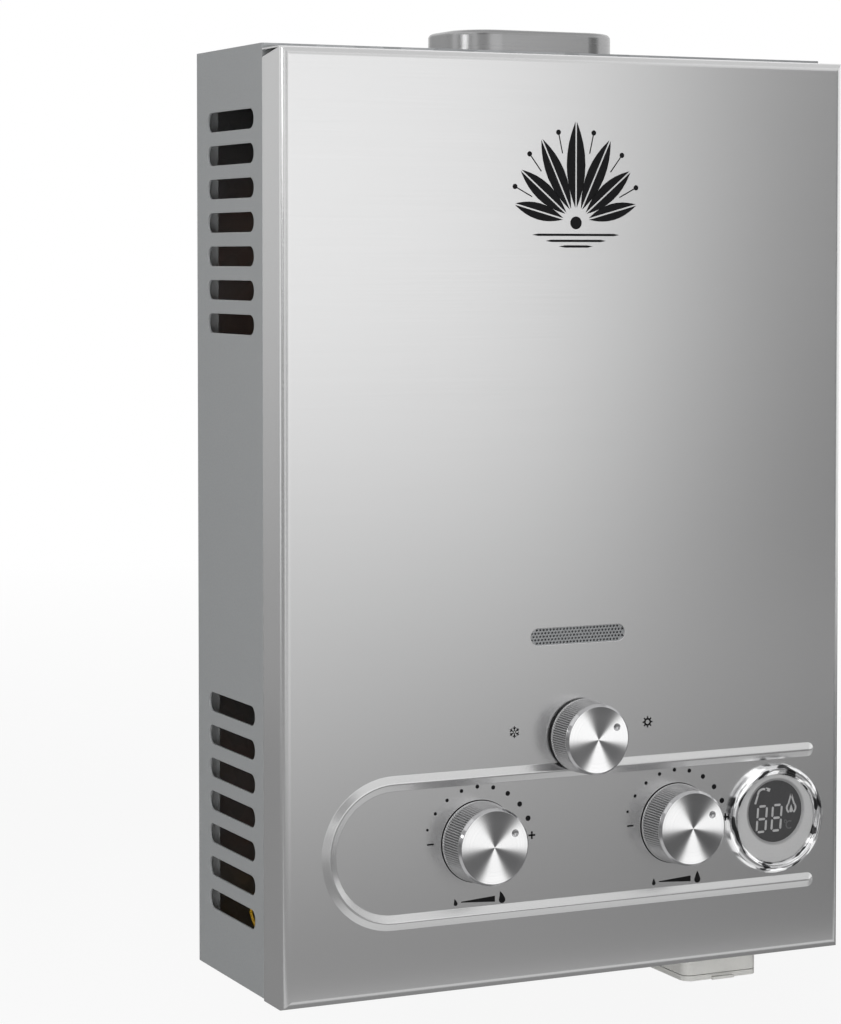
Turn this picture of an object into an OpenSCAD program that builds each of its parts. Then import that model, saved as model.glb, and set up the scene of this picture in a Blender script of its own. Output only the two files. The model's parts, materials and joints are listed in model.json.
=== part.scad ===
// Wall-hung instantaneous gas water heater.
// A sheet steel case and a stainless front cover hold the burner, the heat exchanger, the gas and water
// valves with their three knobs, a round temperature display and a battery box for the ignition.
// Frame: +Z is up, the wall is the plane y = 0, the front faces -Y and +X is to the viewer's right.
// The origin is the centre of the four wall screw holes. Sizes are in millimetres.

/* [Case] */
// Width over the side panels
case_w = 296; // [288:1:340]
// Height over the top and bottom plates
case_h = 435; // [425:1:500]
// Depth of the side panels from the wall
case_d = 82; // [78:1:96]
// Sheet thickness of the case panels
sheet = 1; // [0.8:0.1:1.4]
// Width of the turned-in edges of the side panels
turn = 10; // [8:0.5:12]
// Height of the turned edges of the top and bottom plates
lip = 12; // [10:0.5:16]
// Width of the stiffening ribs pressed into the back panel
rib_w = 14; // [10:1:18]
// Length of the stiffening ribs
rib_len = 250; // [200:1:270]
// Depth of the stiffening ribs
rib_depth = 2.5; // [1.5:0.1:4]
// Distance between the two stiffening ribs
rib_gap = 72; // [60:1:90]

/* [Wall fixing] */
// Distance between the wall holes across
wall_x = 230; // [220:1:236]
// Distance between the wall holes up and down
wall_z = 356; // [340:1:360]
// Radius of the wall holes
wall_hole_r = 3.5; // [2.5:0.1:4]
// Radius of the keyhole's wide end
keyhole_r = 6; // [5:0.1:8]
// Height of the keyhole above the middle of the case
keyhole_up = 190; // [180:1:195]

/* [Front cover] */
// Distance from the wall to the cover's front face
cover_d = 105; // [104:1:125]
// Sheet thickness of the cover
cover_sheet = 0.8; // [0.6:0.1:1.2]
// Outside bend radius of the cover's four edges
cover_bend = 4; // [3:0.1:6]
// Step from the case top down to the cover top
cover_drop_top = 2.5; // [2:0.1:4]
// Step from the case bottom down to the cover bottom
cover_drop_bottom = 1; // [1:0.1:2]
// Joint between the cover's rear edge and the case
cover_gap = 0.3; // [0.2:0.1:0.6]
// Height of the corner relief at the rear of the cover's upper corners
relief_h = 3.4; // [2:0.1:5]
// Distance of the cover hooks from the middle
hook_x = 90; // [70:1:110]
// Width of a cover hook
hook_w = 20; // [14:1:26]
// Distance of the cover screws from the middle
screw_x = 110; // [90:1:125]

/* [Bead] */
// Width of the raised bead
bead_w = 7; // [5:0.1:9]
// Height of the raised bead
bead_h = 1.6; // [1.2:0.1:2.6]
// Radius of the bead's crest
bead_crest = 1.2; // [1:0.1:1.2]
// Radius of the bead's round left end
bead_r = 32; // [30:0.1:36]
// Middle of the bead's round left end, left of the case middle
bead_left = 93.5; // [85:0.5:100]
// Right ends of the bead, right of the case middle
bead_right = 129; // [125:0.5:134]
// Middle of the bead above the case bottom
bead_up = 66.2; // [60:0.1:70]

/* [Louvres] */
// Length of a louvre slot
louvre_len = 58; // [45:0.5:60]
// Height of a louvre slot
louvre_h = 9.2; // [6:0.1:10]
// Pitch of the louvre slots
louvre_pitch = 15.7; // [13:0.1:18]
// Louvre slots in each set
louvre_count = 7; // [5:1:8]
// Outermost slot from the end of the case
louvre_end = 33.5; // [28:0.5:40]
// Middle of the slots from the wall
louvre_y = 43; // [38:0.5:44]

/* [Sight grille] */
// Length of the sight slot
sight_w = 50; // [40:0.5:60]
// Height of the sight slot
sight_h = 8; // [6:0.1:10]
// Middle of the sight slot right of the case middle
sight_x = 2; // [-10:0.5:10]
// Middle of the sight slot above the case bottom
sight_up = 161.3; // [155:0.1:170]
// Radius of the perforations
perf_r = 0.52; // [0.4:0.02:0.6]
// Pitch of the perforations
perf_pitch = 1.78; // [1.6:0.02:2.4]

/* [Flue] */
// Width of the flue collar
flue_w = 86; // [80:1:98]
// Depth of the flue collar
flue_d = 55; // [48:1:58]
// Corner radius of the flue collar
flue_r = 20; // [15:0.5:22]
// Height of the flue collar above the case top
flue_h = 10.5; // [10:0.5:20]
// Middle of the flue collar from the wall
flue_y = 47.5; // [45:0.5:48]
// Radius of the collar's rolled rim
flue_rim = 2.4; // [2:0.1:3]
// Sheet thickness of the flue collar and hood
flue_sheet = 1; // [0.8:0.1:1.4]
// Flange of the flue collar under the top plate
flue_flange = 5; // [4:0.1:6]
// Height of the flue hood
hood_h = 58; // [50:1:64]

/* [Heat exchanger] */
// Width of the combustion chamber
chamber_w = 180; // [172:1:184]
// Depth of the combustion chamber
chamber_d = 66; // [64:1:68]
// Rear wall of the combustion chamber from the wall
chamber_y = 14; // [13:0.5:15]
// Sheet thickness of the chamber and the burner frame
copper = 1; // [0.8:0.1:1.2]
// Tube level below the chamber top
tube_down = 26; // [24:0.5:32]
// Outside radius of the water tube in the fins
tube_r = 5; // [4:0.1:5.4]
// Wall thickness of the water tubes and pipes
tube_wall = 1; // [0.6:0.1:1.4]
// Pitch of the five tube passes
tube_pitch = 13; // [12:0.1:13]
// Number of fins
fin_count = 30; // [16:1:36]
// Thickness of a fin
fin_t = 0.5; // [0.4:0.1:0.8]
// Height of a fin
fin_h = 38; // [30:1:44]
// Radius of the overheat switch
overheat_r = 8; // [6:0.5:10]

/* [Burner] */
// Bottom edge of the burner frame above the case bottom
burner_up = 145; // [143:1:160]
// Height of the burner frame
burner_h = 70; // [64:1:76]
// Number of burner bars
bar_count = 8; // [6:1:8]
// Pitch of the burner bars
bar_pitch = 20; // [17:0.5:21]
// Thickness of a burner bar
bar_t = 9; // [7:0.5:12]
// Side of the square gas manifold
manifold = 12; // [10:0.5:12]
// Radius of a nozzle tip
nozzle_r = 2; // [1.5:0.1:2.5]
// Distance between the two electrodes
electrode_gap = 40; // [30:1:50]

/* [Controls] */
// Axes of the gas and water knobs above the case bottom
knob_up = 68.2; // [65:0.1:70]
// Axis of the season knob above the other two
season_up = 45.8; // [44:0.1:50]
// Gas knob, left of the case middle
gas_x = 50; // [47:0.5:53]
// Water knob, right of the case middle
water_x = 55; // [52:0.5:56]
// Season knob, right of the case middle
season_x = 4; // [0:0.5:8]
// Radius of a knob at its foot
knob_r = 19; // [17:0.1:19.5]
// Radius of a knob's face
knob_face_r = 16.9; // [15:0.1:17]
// Width of the polished edge round a knob's face
knob_edge = 1.1; // [0.6:0.1:1.2]
// Size of the season knob against the other two
season_size = 0.92; // [0.88:0.01:1]
// Height of a knob
knob_h = 14.8; // [14:0.1:22]
// Gap between a knob and the crest of the bead
knob_gap = 0.4; // [0.3:0.1:1.5]
// Radius of a control shaft
shaft_r = 4; // [3:0.1:4.5]
// Depth of the flat on a control shaft
shaft_flat = 1; // [0.6:0.1:1.4]
// Distance of the pointer dimple from a knob's middle
dimple_at = 12; // [9:0.1:12.5]
// Angle of the pointer dimple above the horizontal
dimple_angle = 29; // [0:1:60]

/* [Display] */
// Middle of the display right of the case middle
display_x = 110; // [106:0.5:112]
// Middle of the display above the case bottom
display_up = 66.1; // [63:0.1:69]
// Outside radius of the bezel
display_r = 26.5; // [25.5:0.1:27]
// Radius of the fascia inside the bezel
display_face_r = 21.5; // [20:0.1:22]
// Radius of the dark window
window_r = 15; // [12:0.1:16]
// Middle of the window above the middle of the bezel
window_up = 3.4; // [0:0.1:4]
// Depth of the display barrel behind the cover
display_deep = 11; // [8:0.5:13]

/* [Valves] */
// Middle plane of the valves from the wall
valve_y = 58; // [57:0.5:60]
// Radius of the water valve's diaphragm housing
diaphragm_r = 27; // [25:0.5:29]
// Radius of the push rod
rod_r = 2; // [1.5:0.1:2.5]
// Radius of the collar on the push rod
collar_r = 8; // [7.5:0.1:9]
// Radius of the solenoid
solenoid_r = 11; // [9:0.5:13]
// Length of the solenoid
solenoid_len = 26; // [20:1:28]

/* [Connections] */
// Radius of the threaded connections
thread_r = 10.48; // [8:0.01:10.6]
// Length of the threaded connections below the case
thread_len = 13; // [10:0.5:14]
// Radius of the bore through a connection
bore_r = 6.5; // [5:0.1:7]
// Size across the flats of a connection's hexagon
hex_flats = 27; // [25:0.5:28]
// Connections from the wall
port_y = 32; // [31:0.5:34]
// Outside radius of the water pipes
pipe_r = 5.5; // [4.5:0.1:6]
// Bend radius of the water pipes
pipe_bend = 9; // [8:0.5:10]

/* [Battery box] */
// Width of the battery box
box_w = 42; // [41:0.5:46]
// Middle of the battery box right of the case middle
box_x = 99; // [97:0.5:104]
// Front of the battery box from the wall
box_front = 75; // [74.5:0.5:76]
// Wall thickness of the battery box
box_wall = 1.6; // [1.4:0.1:1.8]
// Radius of the battery box's upright edges
box_r = 5; // [3:0.1:6]
// Drop of the battery door below the case
box_drop = 18; // [16:0.5:20]
// Thickness of the battery door
door_t = 2.6; // [2.2:0.1:3.2]
// Diameter of a cell
cell_d = 33.2; // [32:0.1:33.4]
// Length of a cell
cell_len = 61.5; // [58:0.1:62]

/* [Fits] */
// Clearance of a piece set into an opening
fit = 0.3; // [0.2:0.05:0.5]
// Radial clearance of a turning or sliding fit
run = 0.05; // [0.03:0.01:0.08]

/* [Hidden] */
$fn = 64;

// Main planes of the case and the cover
xs = case_w / 2;
zt = case_h / 2;
zb = -zt;
yf = -case_d;
cover_front = -cover_d;
cover_in = cover_front + cover_sheet;
cover_rear = yf - cover_gap;
cover_top = zt - cover_drop_top;
cover_bottom = zb - cover_drop_bottom;

// Levels and places of the controls
knob_z = zb + knob_up;
season_z = knob_z + season_up;
display_z = zb + display_up;
sight_z = zb + sight_up;
bead_z = zb + bead_up;
knob_foot = cover_front - bead_h - knob_gap;
face_t = 1.6;

// Heat exchanger and burner, hung between the top plate and the valves
chamber_top = zt - sheet - flue_sheet - hood_h;
chamber_bottom = zb + burner_up + burner_h;
burner_bottom = zb + burner_up;
chamber_rear = -chamber_y;
chamber_front = -(chamber_y + chamber_d);
chamber_mid = -(chamber_y + chamber_d / 2);
tube_z = chamber_top - tube_down;
tube_out = chamber_w / 2 + 7;
tube_far = chamber_w / 2 + 2 + tube_pitch / 2;
pipe_x = tube_out + pipe_bend + 2;
fin_pitch = (chamber_w - 2 * copper - 6 - fin_t) / (fin_count - 1);
electrode_z = chamber_bottom + 9;
manifold_y = chamber_front - 6 - manifold / 2;
manifold_z = burner_bottom + 14;
manifold_len = (bar_count - 1) * bar_pitch + 24;

// Valves
vy = -valve_y;
valve_front = vy - 20;
valve_rear = -20;
gx = -gas_x;
gas_left = gx - 26;
gas_right = gx + 20;
gas_bottom = knob_z - 25;
gas_gallery = knob_z + 23;
season_half = 20;
season_rise = 14;
riser_r = 5;
riser_bend = 6;
riser_x = season_x + season_half + riser_bend + 1;
wx = water_x;
water_left = wx - 17;
water_right = wx + 17;
water_bottom = knob_z - 21;
water_top = knob_z + 21;
outlet_x = wx + 7;
cold_z = water_top + 31;
membrane_t = 2;
housing_t = 10;
cover_x1 = water_left - housing_t - membrane_t;
cover_x0 = cover_x1 - housing_t;
boss_len = 8;

// Push rod and switch lever
collar_x = (gas_right + cover_x0) / 2 + 2;
collar_t = 2;
rod_travel = 4;
lever_t = 0.6;
lever_len = 8;
lever_x = collar_x + collar_t / 2 + fit + lever_t / 2;
lever_z = knob_z + 11.5;
lever_pin_r = 1;

// Connections
port = -port_y;
hex_h = 8;
undercut_h = 0.5;
undercut_r = thread_r - 1;
out_x = -pipe_x;
spigot_r = 8;
hot_end = zb + sheet + hex_h + 18;

// Battery box: two upright cells, one behind the other
box_d = 2 * cell_d + 2 * fit + 2 * box_wall;
box_rear = -box_front + box_d;
box_mid = -box_front + box_d / 2;
door_bottom = zb - box_drop;
door_top = door_bottom + door_t;
box_bottom = door_top + fit;
cell_bottom = box_bottom + 1;
box_top = cell_bottom + cell_len + 0.5 + box_wall;
hinge_r = 2.2;
hinge_y = box_rear + 0.4;
hinge_z = box_bottom + 0.2;
pin_r = 1.1;
knuckle = box_w / 3 - 3;

// Ignition controller on the left side panel, clear of the hot pipe
ctrl_gap = 9.7;
ctrl_t = xs - sheet - (pipe_x + pipe_r) - ctrl_gap;
ctrl_h = 80;
ctrl_up = 12;
ctrl_d = 56;
ctrl_tab = 9;
ctrl_tab_in = 8;
ctrl_tab_t = 2;
ctrl_x = -(xs - sheet);
ctrl_y0 = -chamber_y - ctrl_d;
ctrl_y1 = -chamber_y;
ctrl_z1 = chamber_bottom + ctrl_up;
ctrl_z0 = ctrl_z1 - ctrl_h;

// Brackets between the back panel and the chamber
bracket_x = 66;
bracket_w = 20;
bracket_up = 70;
bracket_leg = 24;
bracket_drop = 22;
bracket_t = 1.5;

// Paths of the pipes and of the leads, point by point
tube_path = [
    [tube_out, chamber_mid + 2 * tube_pitch, tube_z],
    [-tube_far, chamber_mid + 2 * tube_pitch, tube_z],
    [-tube_far, chamber_mid + tube_pitch, tube_z],
    [tube_far, chamber_mid + tube_pitch, tube_z],
    [tube_far, chamber_mid, tube_z],
    [-tube_far, chamber_mid, tube_z],
    [-tube_far, chamber_mid - tube_pitch, tube_z],
    [tube_far, chamber_mid - tube_pitch, tube_z],
    [tube_far, chamber_mid - 2 * tube_pitch, tube_z],
    [-tube_out, chamber_mid - 2 * tube_pitch, tube_z]
];
cold_path = [
    [tube_out, chamber_mid + 2 * tube_pitch, tube_z],
    [pipe_x, chamber_mid + 2 * tube_pitch, tube_z],
    [pipe_x, chamber_mid + 2 * tube_pitch, cold_z],
    [pipe_x, vy, cold_z],
    [outlet_x, vy, cold_z],
    [outlet_x, vy, water_top + 8]
];
hot_path = [
    [-tube_out, chamber_mid - 2 * tube_pitch, tube_z],
    [out_x, chamber_mid - 2 * tube_pitch, tube_z],
    [out_x, chamber_mid - 2 * tube_pitch, knob_z + 24],
    [out_x, port, knob_z + 24],
    [out_x, port, hot_end]
];
riser_path = [
    [season_x + season_half, vy, season_z],
    [riser_x, vy, season_z],
    [riser_x, manifold_y, season_z],
    [riser_x, manifold_y, manifold_z - manifold / 2]
];
lead_r = 1.1;
spark_leads = [
    for (s = [-1, 1]) [
        [s * electrode_gap / 2, chamber_front - 18 - fit, electrode_z],
        [s * electrode_gap / 2, chamber_front - 20, electrode_z],
        [s * electrode_gap / 2 - 10, chamber_front - 19.5, electrode_z - 4 + 6 * s],
        [-50, chamber_front - 15, electrode_z + 7 * s],
        [-90, chamber_front - 10, electrode_z - 8 + 7 * s],
        [-116, chamber_front - 8, electrode_z - 16 + 6 * s],
        [ctrl_x + ctrl_t / 2, ctrl_y0 - 9, electrode_z - 24 + 6 * s],
        [ctrl_x + ctrl_t / 2, ctrl_y0 - fit, electrode_z - 24 + 6 * s]
    ]
];
supply_leads = [
    for (s = [-1, 1]) [
        [ctrl_x + ctrl_t / 3, -32 + 6 * s, ctrl_z0 - fit],
        [ctrl_x + ctrl_t / 3, -34 + 6 * s, ctrl_z0 - 9],
        [ctrl_x + 16, -66 + 3 * s, ctrl_z0 - 26],
        [ctrl_x + 16, -68 + 3 * s, zb + 52],
        [ctrl_x + 9, -46 + 5 * s, zb + 27 + 4 * s],
        [ctrl_x + 24, -60 + 3 * s, zb + 13 + 2 * s],
        [gx, -62 + 3 * s, zb + 11 + 2 * s],
        [wx - 10, -62 + 3 * s, zb + 11 + 2 * s],
        [box_x - box_w / 2 - 6, -50 + 4 * s, zb + 28],
        [box_x - box_w / 2 - fit, -50 + 4 * s, zb + 28]
    ]
];
display_leads = [[
    [display_x - 14, cover_front + display_deep - 1 + fit, display_z + 12],
    [display_x - 14, cover_front + display_deep + 5, display_z + 12],
    [display_x - 26, cover_front + display_deep + 2, display_z + 26],
    [season_x + 30, cover_in + 3.5, season_z + 12],
    [season_x - 6, cover_in + 3, season_z + 20],
    [gx - 20, cover_in + 3.5, burner_bottom - 6],
    [-112, cover_in + 10, burner_bottom + 2],
    [ctrl_x + ctrl_t / 2 + 2, ctrl_y0 - 9, ctrl_z0 + 16],
    [ctrl_x + ctrl_t / 2 + 2, ctrl_y0 - fit, ctrl_z0 + 16]
]];

// Helpers

// Solid box between two opposite corners
module block(a, b) {
    translate(a) cube(b - a);
}

// Cylinder along Y from the front plane y0 back to y1
module disc_y(x, z, y0, y1, r) {
    translate([x, y1, z]) rotate([90, 0, 0]) cylinder(r = r, h = y1 - y0);
}

// Cylinder along X
module disc_x(y, z, x0, x1, r) {
    translate([x0, y, z]) rotate([0, 90, 0]) cylinder(r = r, h = x1 - x0);
}

// Cylinder along Z
module disc_z(x, y, z0, z1, r) {
    translate([x, y, z0]) cylinder(r = r, h = z1 - z0);
}

// Draws a flat shape (x right, y up) on the plane y and raises it towards the front
module on_front(x, z, y, h) {
    translate([x, y, z]) rotate([90, 0, 0]) linear_extrude(h) children();
}

// Draws a flat shape (x back, y up) and runs it along X from x0 to x1
module along_x(x0, x1) {
    translate([x0, 0, 0]) rotate([90, 0, 90]) linear_extrude(x1 - x0) children();
}

// Flat slot with round ends
module obround(length, height) {
    square([length - height, height], center = true);
    for (s = [-1, 1]) {
        translate([s * (length - height) / 2, 0]) circle(height / 2);
    }
}

// Flat rectangle with round corners
module rounded_rect(w, d, r) {
    square([w - 2 * r, d], center = true);
    square([w, d - 2 * r], center = true);
    for (sx = [-1, 1], sy = [-1, 1]) {
        translate([sx * (w / 2 - r), sy * (d / 2 - r)]) circle(r);
    }
}

// Runs a flat section round a rectangle with round corners; x = r in the section is the outside
module around_rect(w, d, r) {
    for (k = [0:3]) {
        side = k % 2 == 0 ? w - 2 * r : d - 2 * r;
        off = k % 2 == 0 ? d / 2 - r : w / 2 - r;
        rotate([0, 0, 90 * k]) {
            translate([0, off, 0]) rotate([90, 0, 90]) linear_extrude(side, center = true) children();
            translate([side / 2, off, 0]) rotate_extrude(angle = 90) children();
        }
    }
}

// Puts a piece drawn along +Z at p, pointing along d
module pointing(p, d) {
    u = cross(abs(d.z) < 0.9 ? [0, 0, 1] : [1, 0, 0], d);
    n = u / norm(u);
    v = cross(d, n);
    multmatrix([[n.x, v.x, d.x, p.x], [n.y, v.y, d.y, p.y], [n.z, v.z, d.z, p.z], [0, 0, 0, 1]]) children();
}

function unit(v) = v / norm(v);

// Rod through square-cornered points, with round bends
module bent_rod(points, r, bend) {
    last = len(points) - 1;
    for (i = [0:last - 1]) {
        d = unit(points[i + 1] - points[i]);
        a = points[i] + (i > 0 ? bend : 0) * d;
        b = points[i + 1] - (i < last - 1 ? bend : 0) * d;
        if (norm(b - a) > 0.001) {
            pointing(a, d) cylinder(r = r, h = norm(b - a));
        }
    }
    for (i = [1:1:last - 1]) {
        a = unit(points[i] - points[i - 1]);
        b = unit(points[i + 1] - points[i]);
        c = points[i] - bend * a + bend * b;
        n = cross(a, b);
        multmatrix([[-b.x, a.x, n.x, c.x], [-b.y, a.y, n.y, c.y], [-b.z, a.z, n.z, c.z], [0, 0, 0, 1]])
            rotate_extrude(angle = 90) translate([bend, 0]) circle(r);
    }
}

// The same points with both ends drawn out a little, for a bore
function drawn_out(points) = let (last = len(points) - 1) [
    for (i = [0:last])
        i == 0 ? points[0] - unit(points[1] - points[0])
        : i == last ? points[last] + unit(points[last] - points[last - 1])
        : points[i]
];

// Tube through square-cornered points
module bent_tube(points, r, bend) {
    difference() {
        bent_rod(points, r, bend);
        bent_rod(drawn_out(points), r - tube_wall, bend);
    }
}

// Smooth path through hand-placed points
function smooth(p, steps) = let (last = len(p) - 1) concat([
    for (i = [0:last - 1], s = [0:steps - 1])
        let (
            a = p[max(i - 1, 0)],
            b = p[i],
            c = p[i + 1],
            d = p[min(i + 2, last)],
            t = s / steps
        )
        0.5 * (2 * b + (c - a) * t + (2 * a - 5 * b + 4 * c - d) * t * t
            + (3 * b - a - 3 * c + d) * t * t * t)
], [p[last]]);

// Insulated lead along a smooth path
module lead(points) {
    path = smooth(points, 4);
    last = len(path) - 1;
    sides = 8;
    aim = unit([0.31, 0.22, 1]);
    rings = [
        for (j = [0:last])
            let (
                t = j == 0 ? unit(points[1] - points[0])
                    : j == last ? unit(points[len(points) - 1] - points[len(points) - 2])
                    : unit(path[j + 1] - path[j - 1]),
                u = unit(cross(aim, t)),
                v = cross(t, u)
            )
            for (k = [0:sides - 1])
                path[j] + lead_r * (cos(360 * k / sides) * u + sin(360 * k / sides) * v)
    ];
    skin = [
        for (j = [0:last - 1], k = [0:sides - 1], half = [0, 1])
            let (
                a = j * sides + k,
                b = j * sides + (k + 1) % sides,
                c = a + sides,
                d = b + sides
            )
            half == 0 ? [a, c, d] : [a, d, b]
    ];
    front = [for (k = [1:sides - 2]) [0, k, k + 1]];
    back = [for (k = [1:sides - 2]) [last * sides, last * sides + k + 1, last * sides + k]];
    polyhedron(points = rings, faces = concat(skin, front, back), convexity = 6);
}

// Hexagon bar along +Z
module hex_bar(flats, h) {
    cylinder(r = flats / 2 / cos(30), h = h, $fn = 6);
}

// Shell

// Flat back panel with pressed ribs, four wall holes and a keyhole
module back_panel() {
    color("silver") difference() {
        union() {
            block([-(xs - sheet), -sheet, zb], [xs - sheet, 0, zt]);
            for (s = [-1, 1]) {
                on_front(s * rib_gap / 2, 0, -sheet, rib_depth) rotate(90) obround(rib_len, rib_w);
            }
        }
        for (s = [-1, 1]) {
            on_front(s * rib_gap / 2, 0, 1, rib_depth + 1)
                rotate(90) obround(rib_len - 2 * sheet, rib_w - 2 * sheet);
        }
        for (sx = [-1, 1], sz = [-1, 1]) {
            disc_y(sx * wall_x / 2, sz * wall_z / 2, -sheet - 1, 1, wall_hole_r);
        }
        disc_y(0, keyhole_up, -sheet - 1, 1, keyhole_r);
        on_front(0, keyhole_up + keyhole_r, 1, sheet + 2) rotate(90) obround(3 * keyhole_r, keyhole_r);
    }
}

// Side panel with two sets of louvre slots and turned-in front and rear edges, drawn on the left
module side_panel() {
    color("dimgray") difference() {
        union() {
            block([-xs, yf, zb], [-(xs - sheet), 0, zt]);
            block([-xs, yf, zb + sheet], [-(xs - turn), yf + sheet, zt - sheet]);
            block([-xs, -2 * sheet, zb + sheet], [-(xs - turn), -sheet, zt - sheet]);
        }
        for (s = [-1, 1], i = [0:louvre_count - 1]) {
            translate([0, -louvre_y, s * (zt - louvre_end - i * louvre_pitch)])
                along_x(-xs - 1, -(xs - sheet) + 1) obround(louvre_len, louvre_h);
        }
    }
}

module left_side_panel() {
    side_panel();
}

module right_side_panel() {
    mirror([1, 0, 0]) side_panel();
}

// Plate between the side panels with turned side edges and a front lip, drawn at the top
module end_plate() {
    block([-(xs - sheet), yf, zt - sheet], [xs - sheet, -sheet, zt]);
    block([-(xs - turn - fit), yf, zt - lip], [xs - turn - fit, yf + sheet, zt - sheet]);
    for (s = [0, 1]) {
        mirror([s, 0, 0])
            block([-(xs - sheet), yf + sheet + 2, zt - lip], [-(xs - 2 * sheet), -2 * sheet - 2, zt - sheet]);
    }
}

// Top plate with the flue opening and the slots for the cover hooks
module top_plate() {
    color("silver") difference() {
        end_plate();
        translate([0, -flue_y, zt - sheet - 1])
            linear_extrude(sheet + 2) rounded_rect(flue_w + 2 * fit, flue_d + 2 * fit, flue_r + fit);
        for (s = [-1, 1]) {
            block(
                [s * hook_x - hook_w / 2 - 1, yf - 1, cover_top - cover_sheet - fit],
                [s * hook_x + hook_w / 2 + 1, yf + sheet + 1, cover_top + fit]
            );
        }
    }
}

// Bottom plate with the connection holes, the battery opening and two tabs for the cover screws
module bottom_plate() {
    color("silver") difference() {
        union() {
            mirror([0, 0, 1]) end_plate();
            for (s = [-1, 1]) {
                block([s * screw_x - 9, yf - 14, zb], [s * screw_x + 9, yf + 1, zb + sheet]);
            }
        }
        for (x = [gx, wx, out_x]) {
            disc_z(x, port, zb - 1, zb + sheet + 1, thread_r + fit);
        }
        translate([box_x, box_mid, zb - 1])
            linear_extrude(sheet + 2) rounded_rect(box_w + 2 * fit, box_d + 2 * fit, box_r + fit);
        for (s = [-1, 1]) {
            disc_z(s * screw_x, yf - 8, zb - 1, zb + sheet + 1, 1.9 + run);
        }
    }
}

// Flat pan section: a rectangle whose two corners at the front are round
module pan_section(half, depth, bend) {
    translate([-half, -depth + bend]) square([2 * half, depth - bend]);
    translate([-half + bend, -depth]) square([2 * half - 2 * bend, bend + 0.01]);
    for (s = [-1, 1]) {
        translate([s * (half - bend), -depth + bend]) circle(bend);
    }
}

// Solid pan, round on its four front edges
module pan(half, front, rear, bottom, top, bend) {
    mid = (top + bottom) / 2;
    intersection() {
        translate([0, rear, bottom]) linear_extrude(top - bottom) pan_section(half, rear - front, bend);
        translate([-half, rear, mid])
            rotate([0, 90, 0]) linear_extrude(2 * half) pan_section((top - bottom) / 2, rear - front, bend);
    }
}

// Flat section of the bead, two flanks and a rounded crest, drawn in by the inset
module bead_section(inset, from) {
    rise = bead_h - bead_crest;
    tilt = asin(bead_crest / norm([bead_w / 2, rise])) + atan2(rise, bead_w / 2);
    r = bead_crest - inset;
    half = ((rise - from) * cos(tilt) + r) / sin(tilt);
    polygon(concat(
        [[-half, from]],
        [for (i = [-4:4]) [r * sin(i * tilt / 4), rise + r * cos(i * tilt / 4)]],
        [[half, from]]
    ));
}

// The U-shaped bead, open to the right, drawn flat with its height along +Z
module bead(inset, from) {
    for (s = [-1, 1]) {
        translate([-bead_left, s * bead_r, 0])
            rotate([90, 0, 90]) linear_extrude(bead_left + bead_right) bead_section(inset, from);
        translate([bead_right, s * bead_r, 0])
            rotate_extrude() intersection() {
                bead_section(inset, from);
                translate([0, -bead_w]) square([bead_w, 3 * bead_w]);
            }
    }
    translate([-bead_left, 0, 0])
        rotate([0, 0, 90]) rotate_extrude(angle = 180) translate([bead_r, 0]) bead_section(inset, from);
}

// Stainless pan with bent edges, the raised bead and openings for the controls, display and sight slot
module front_cover() {
    color("lightgray") difference() {
        union() {
            difference() {
                pan(xs, cover_front, cover_rear, cover_bottom, cover_top, cover_bend);
                pan(
                    xs - cover_sheet, cover_in, cover_rear + 1, cover_bottom + cover_sheet,
                    cover_top - cover_sheet, cover_bend - cover_sheet
                );
            }
            translate([0, cover_front, bead_z]) rotate([90, 0, 0]) bead(0, -cover_sheet / 2);
            for (s = [-1, 1]) {
                block(
                    [s * hook_x - hook_w / 2, cover_rear - 1, cover_top - cover_sheet],
                    [s * hook_x + hook_w / 2, yf + 8, cover_top]
                );
            }
        }
        translate([0, cover_front, bead_z]) rotate([90, 0, 0]) bead(cover_sheet, -cover_sheet - 1);
        for (s = [0, 1]) {
            mirror([s, 0, 0]) along_x(-xs - 1, -(xs - cover_sheet)) polygon([
                [cover_front + cover_bend, cover_top - cover_sheet],
                [cover_rear + 1, cover_top - cover_sheet],
                [cover_rear + 1, cover_top - cover_sheet - relief_h]
            ]);
        }
        for (p = [[gx, knob_z], [wx, knob_z], [season_x, season_z]]) {
            disc_y(p.x, p.y, cover_front - 1, cover_in + 1, shaft_r + 2);
        }
        disc_y(display_x, display_z, cover_front - 1, cover_in + 1, display_face_r + 1 + fit);
        on_front(sight_x, sight_z, cover_in + 1, cover_sheet + 2) obround(sight_w, sight_h);
        for (s = [-1, 1]) {
            disc_z(s * screw_x, yf - 8, cover_bottom - 1, cover_bottom + cover_sheet + 1, 1.9 + run);
        }
    }
}

// Perforated plate behind the sight slot
module sight_grille() {
    rows = floor((sight_h / 2 - perf_r) / (perf_pitch * sin(60)));
    columns = ceil(sight_w / 2 / perf_pitch);
    color("gray") on_front(sight_x, sight_z, cover_in + 0.6, 0.6) difference() {
        square([sight_w + 8, sight_h + 8], center = true);
        for (j = [-rows:rows], i = [-columns:columns]) {
            x = (i + (j % 2 == 0 ? 0 : 0.5)) * perf_pitch;
            y = j * perf_pitch * sin(60);
            past = max(abs(x) - (sight_w - sight_h) / 2, 0);
            if (norm([past, y]) < sight_h / 2 - perf_r) {
                translate([x, y]) circle(perf_r, $fn = 16);
            }
        }
    }
}

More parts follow.
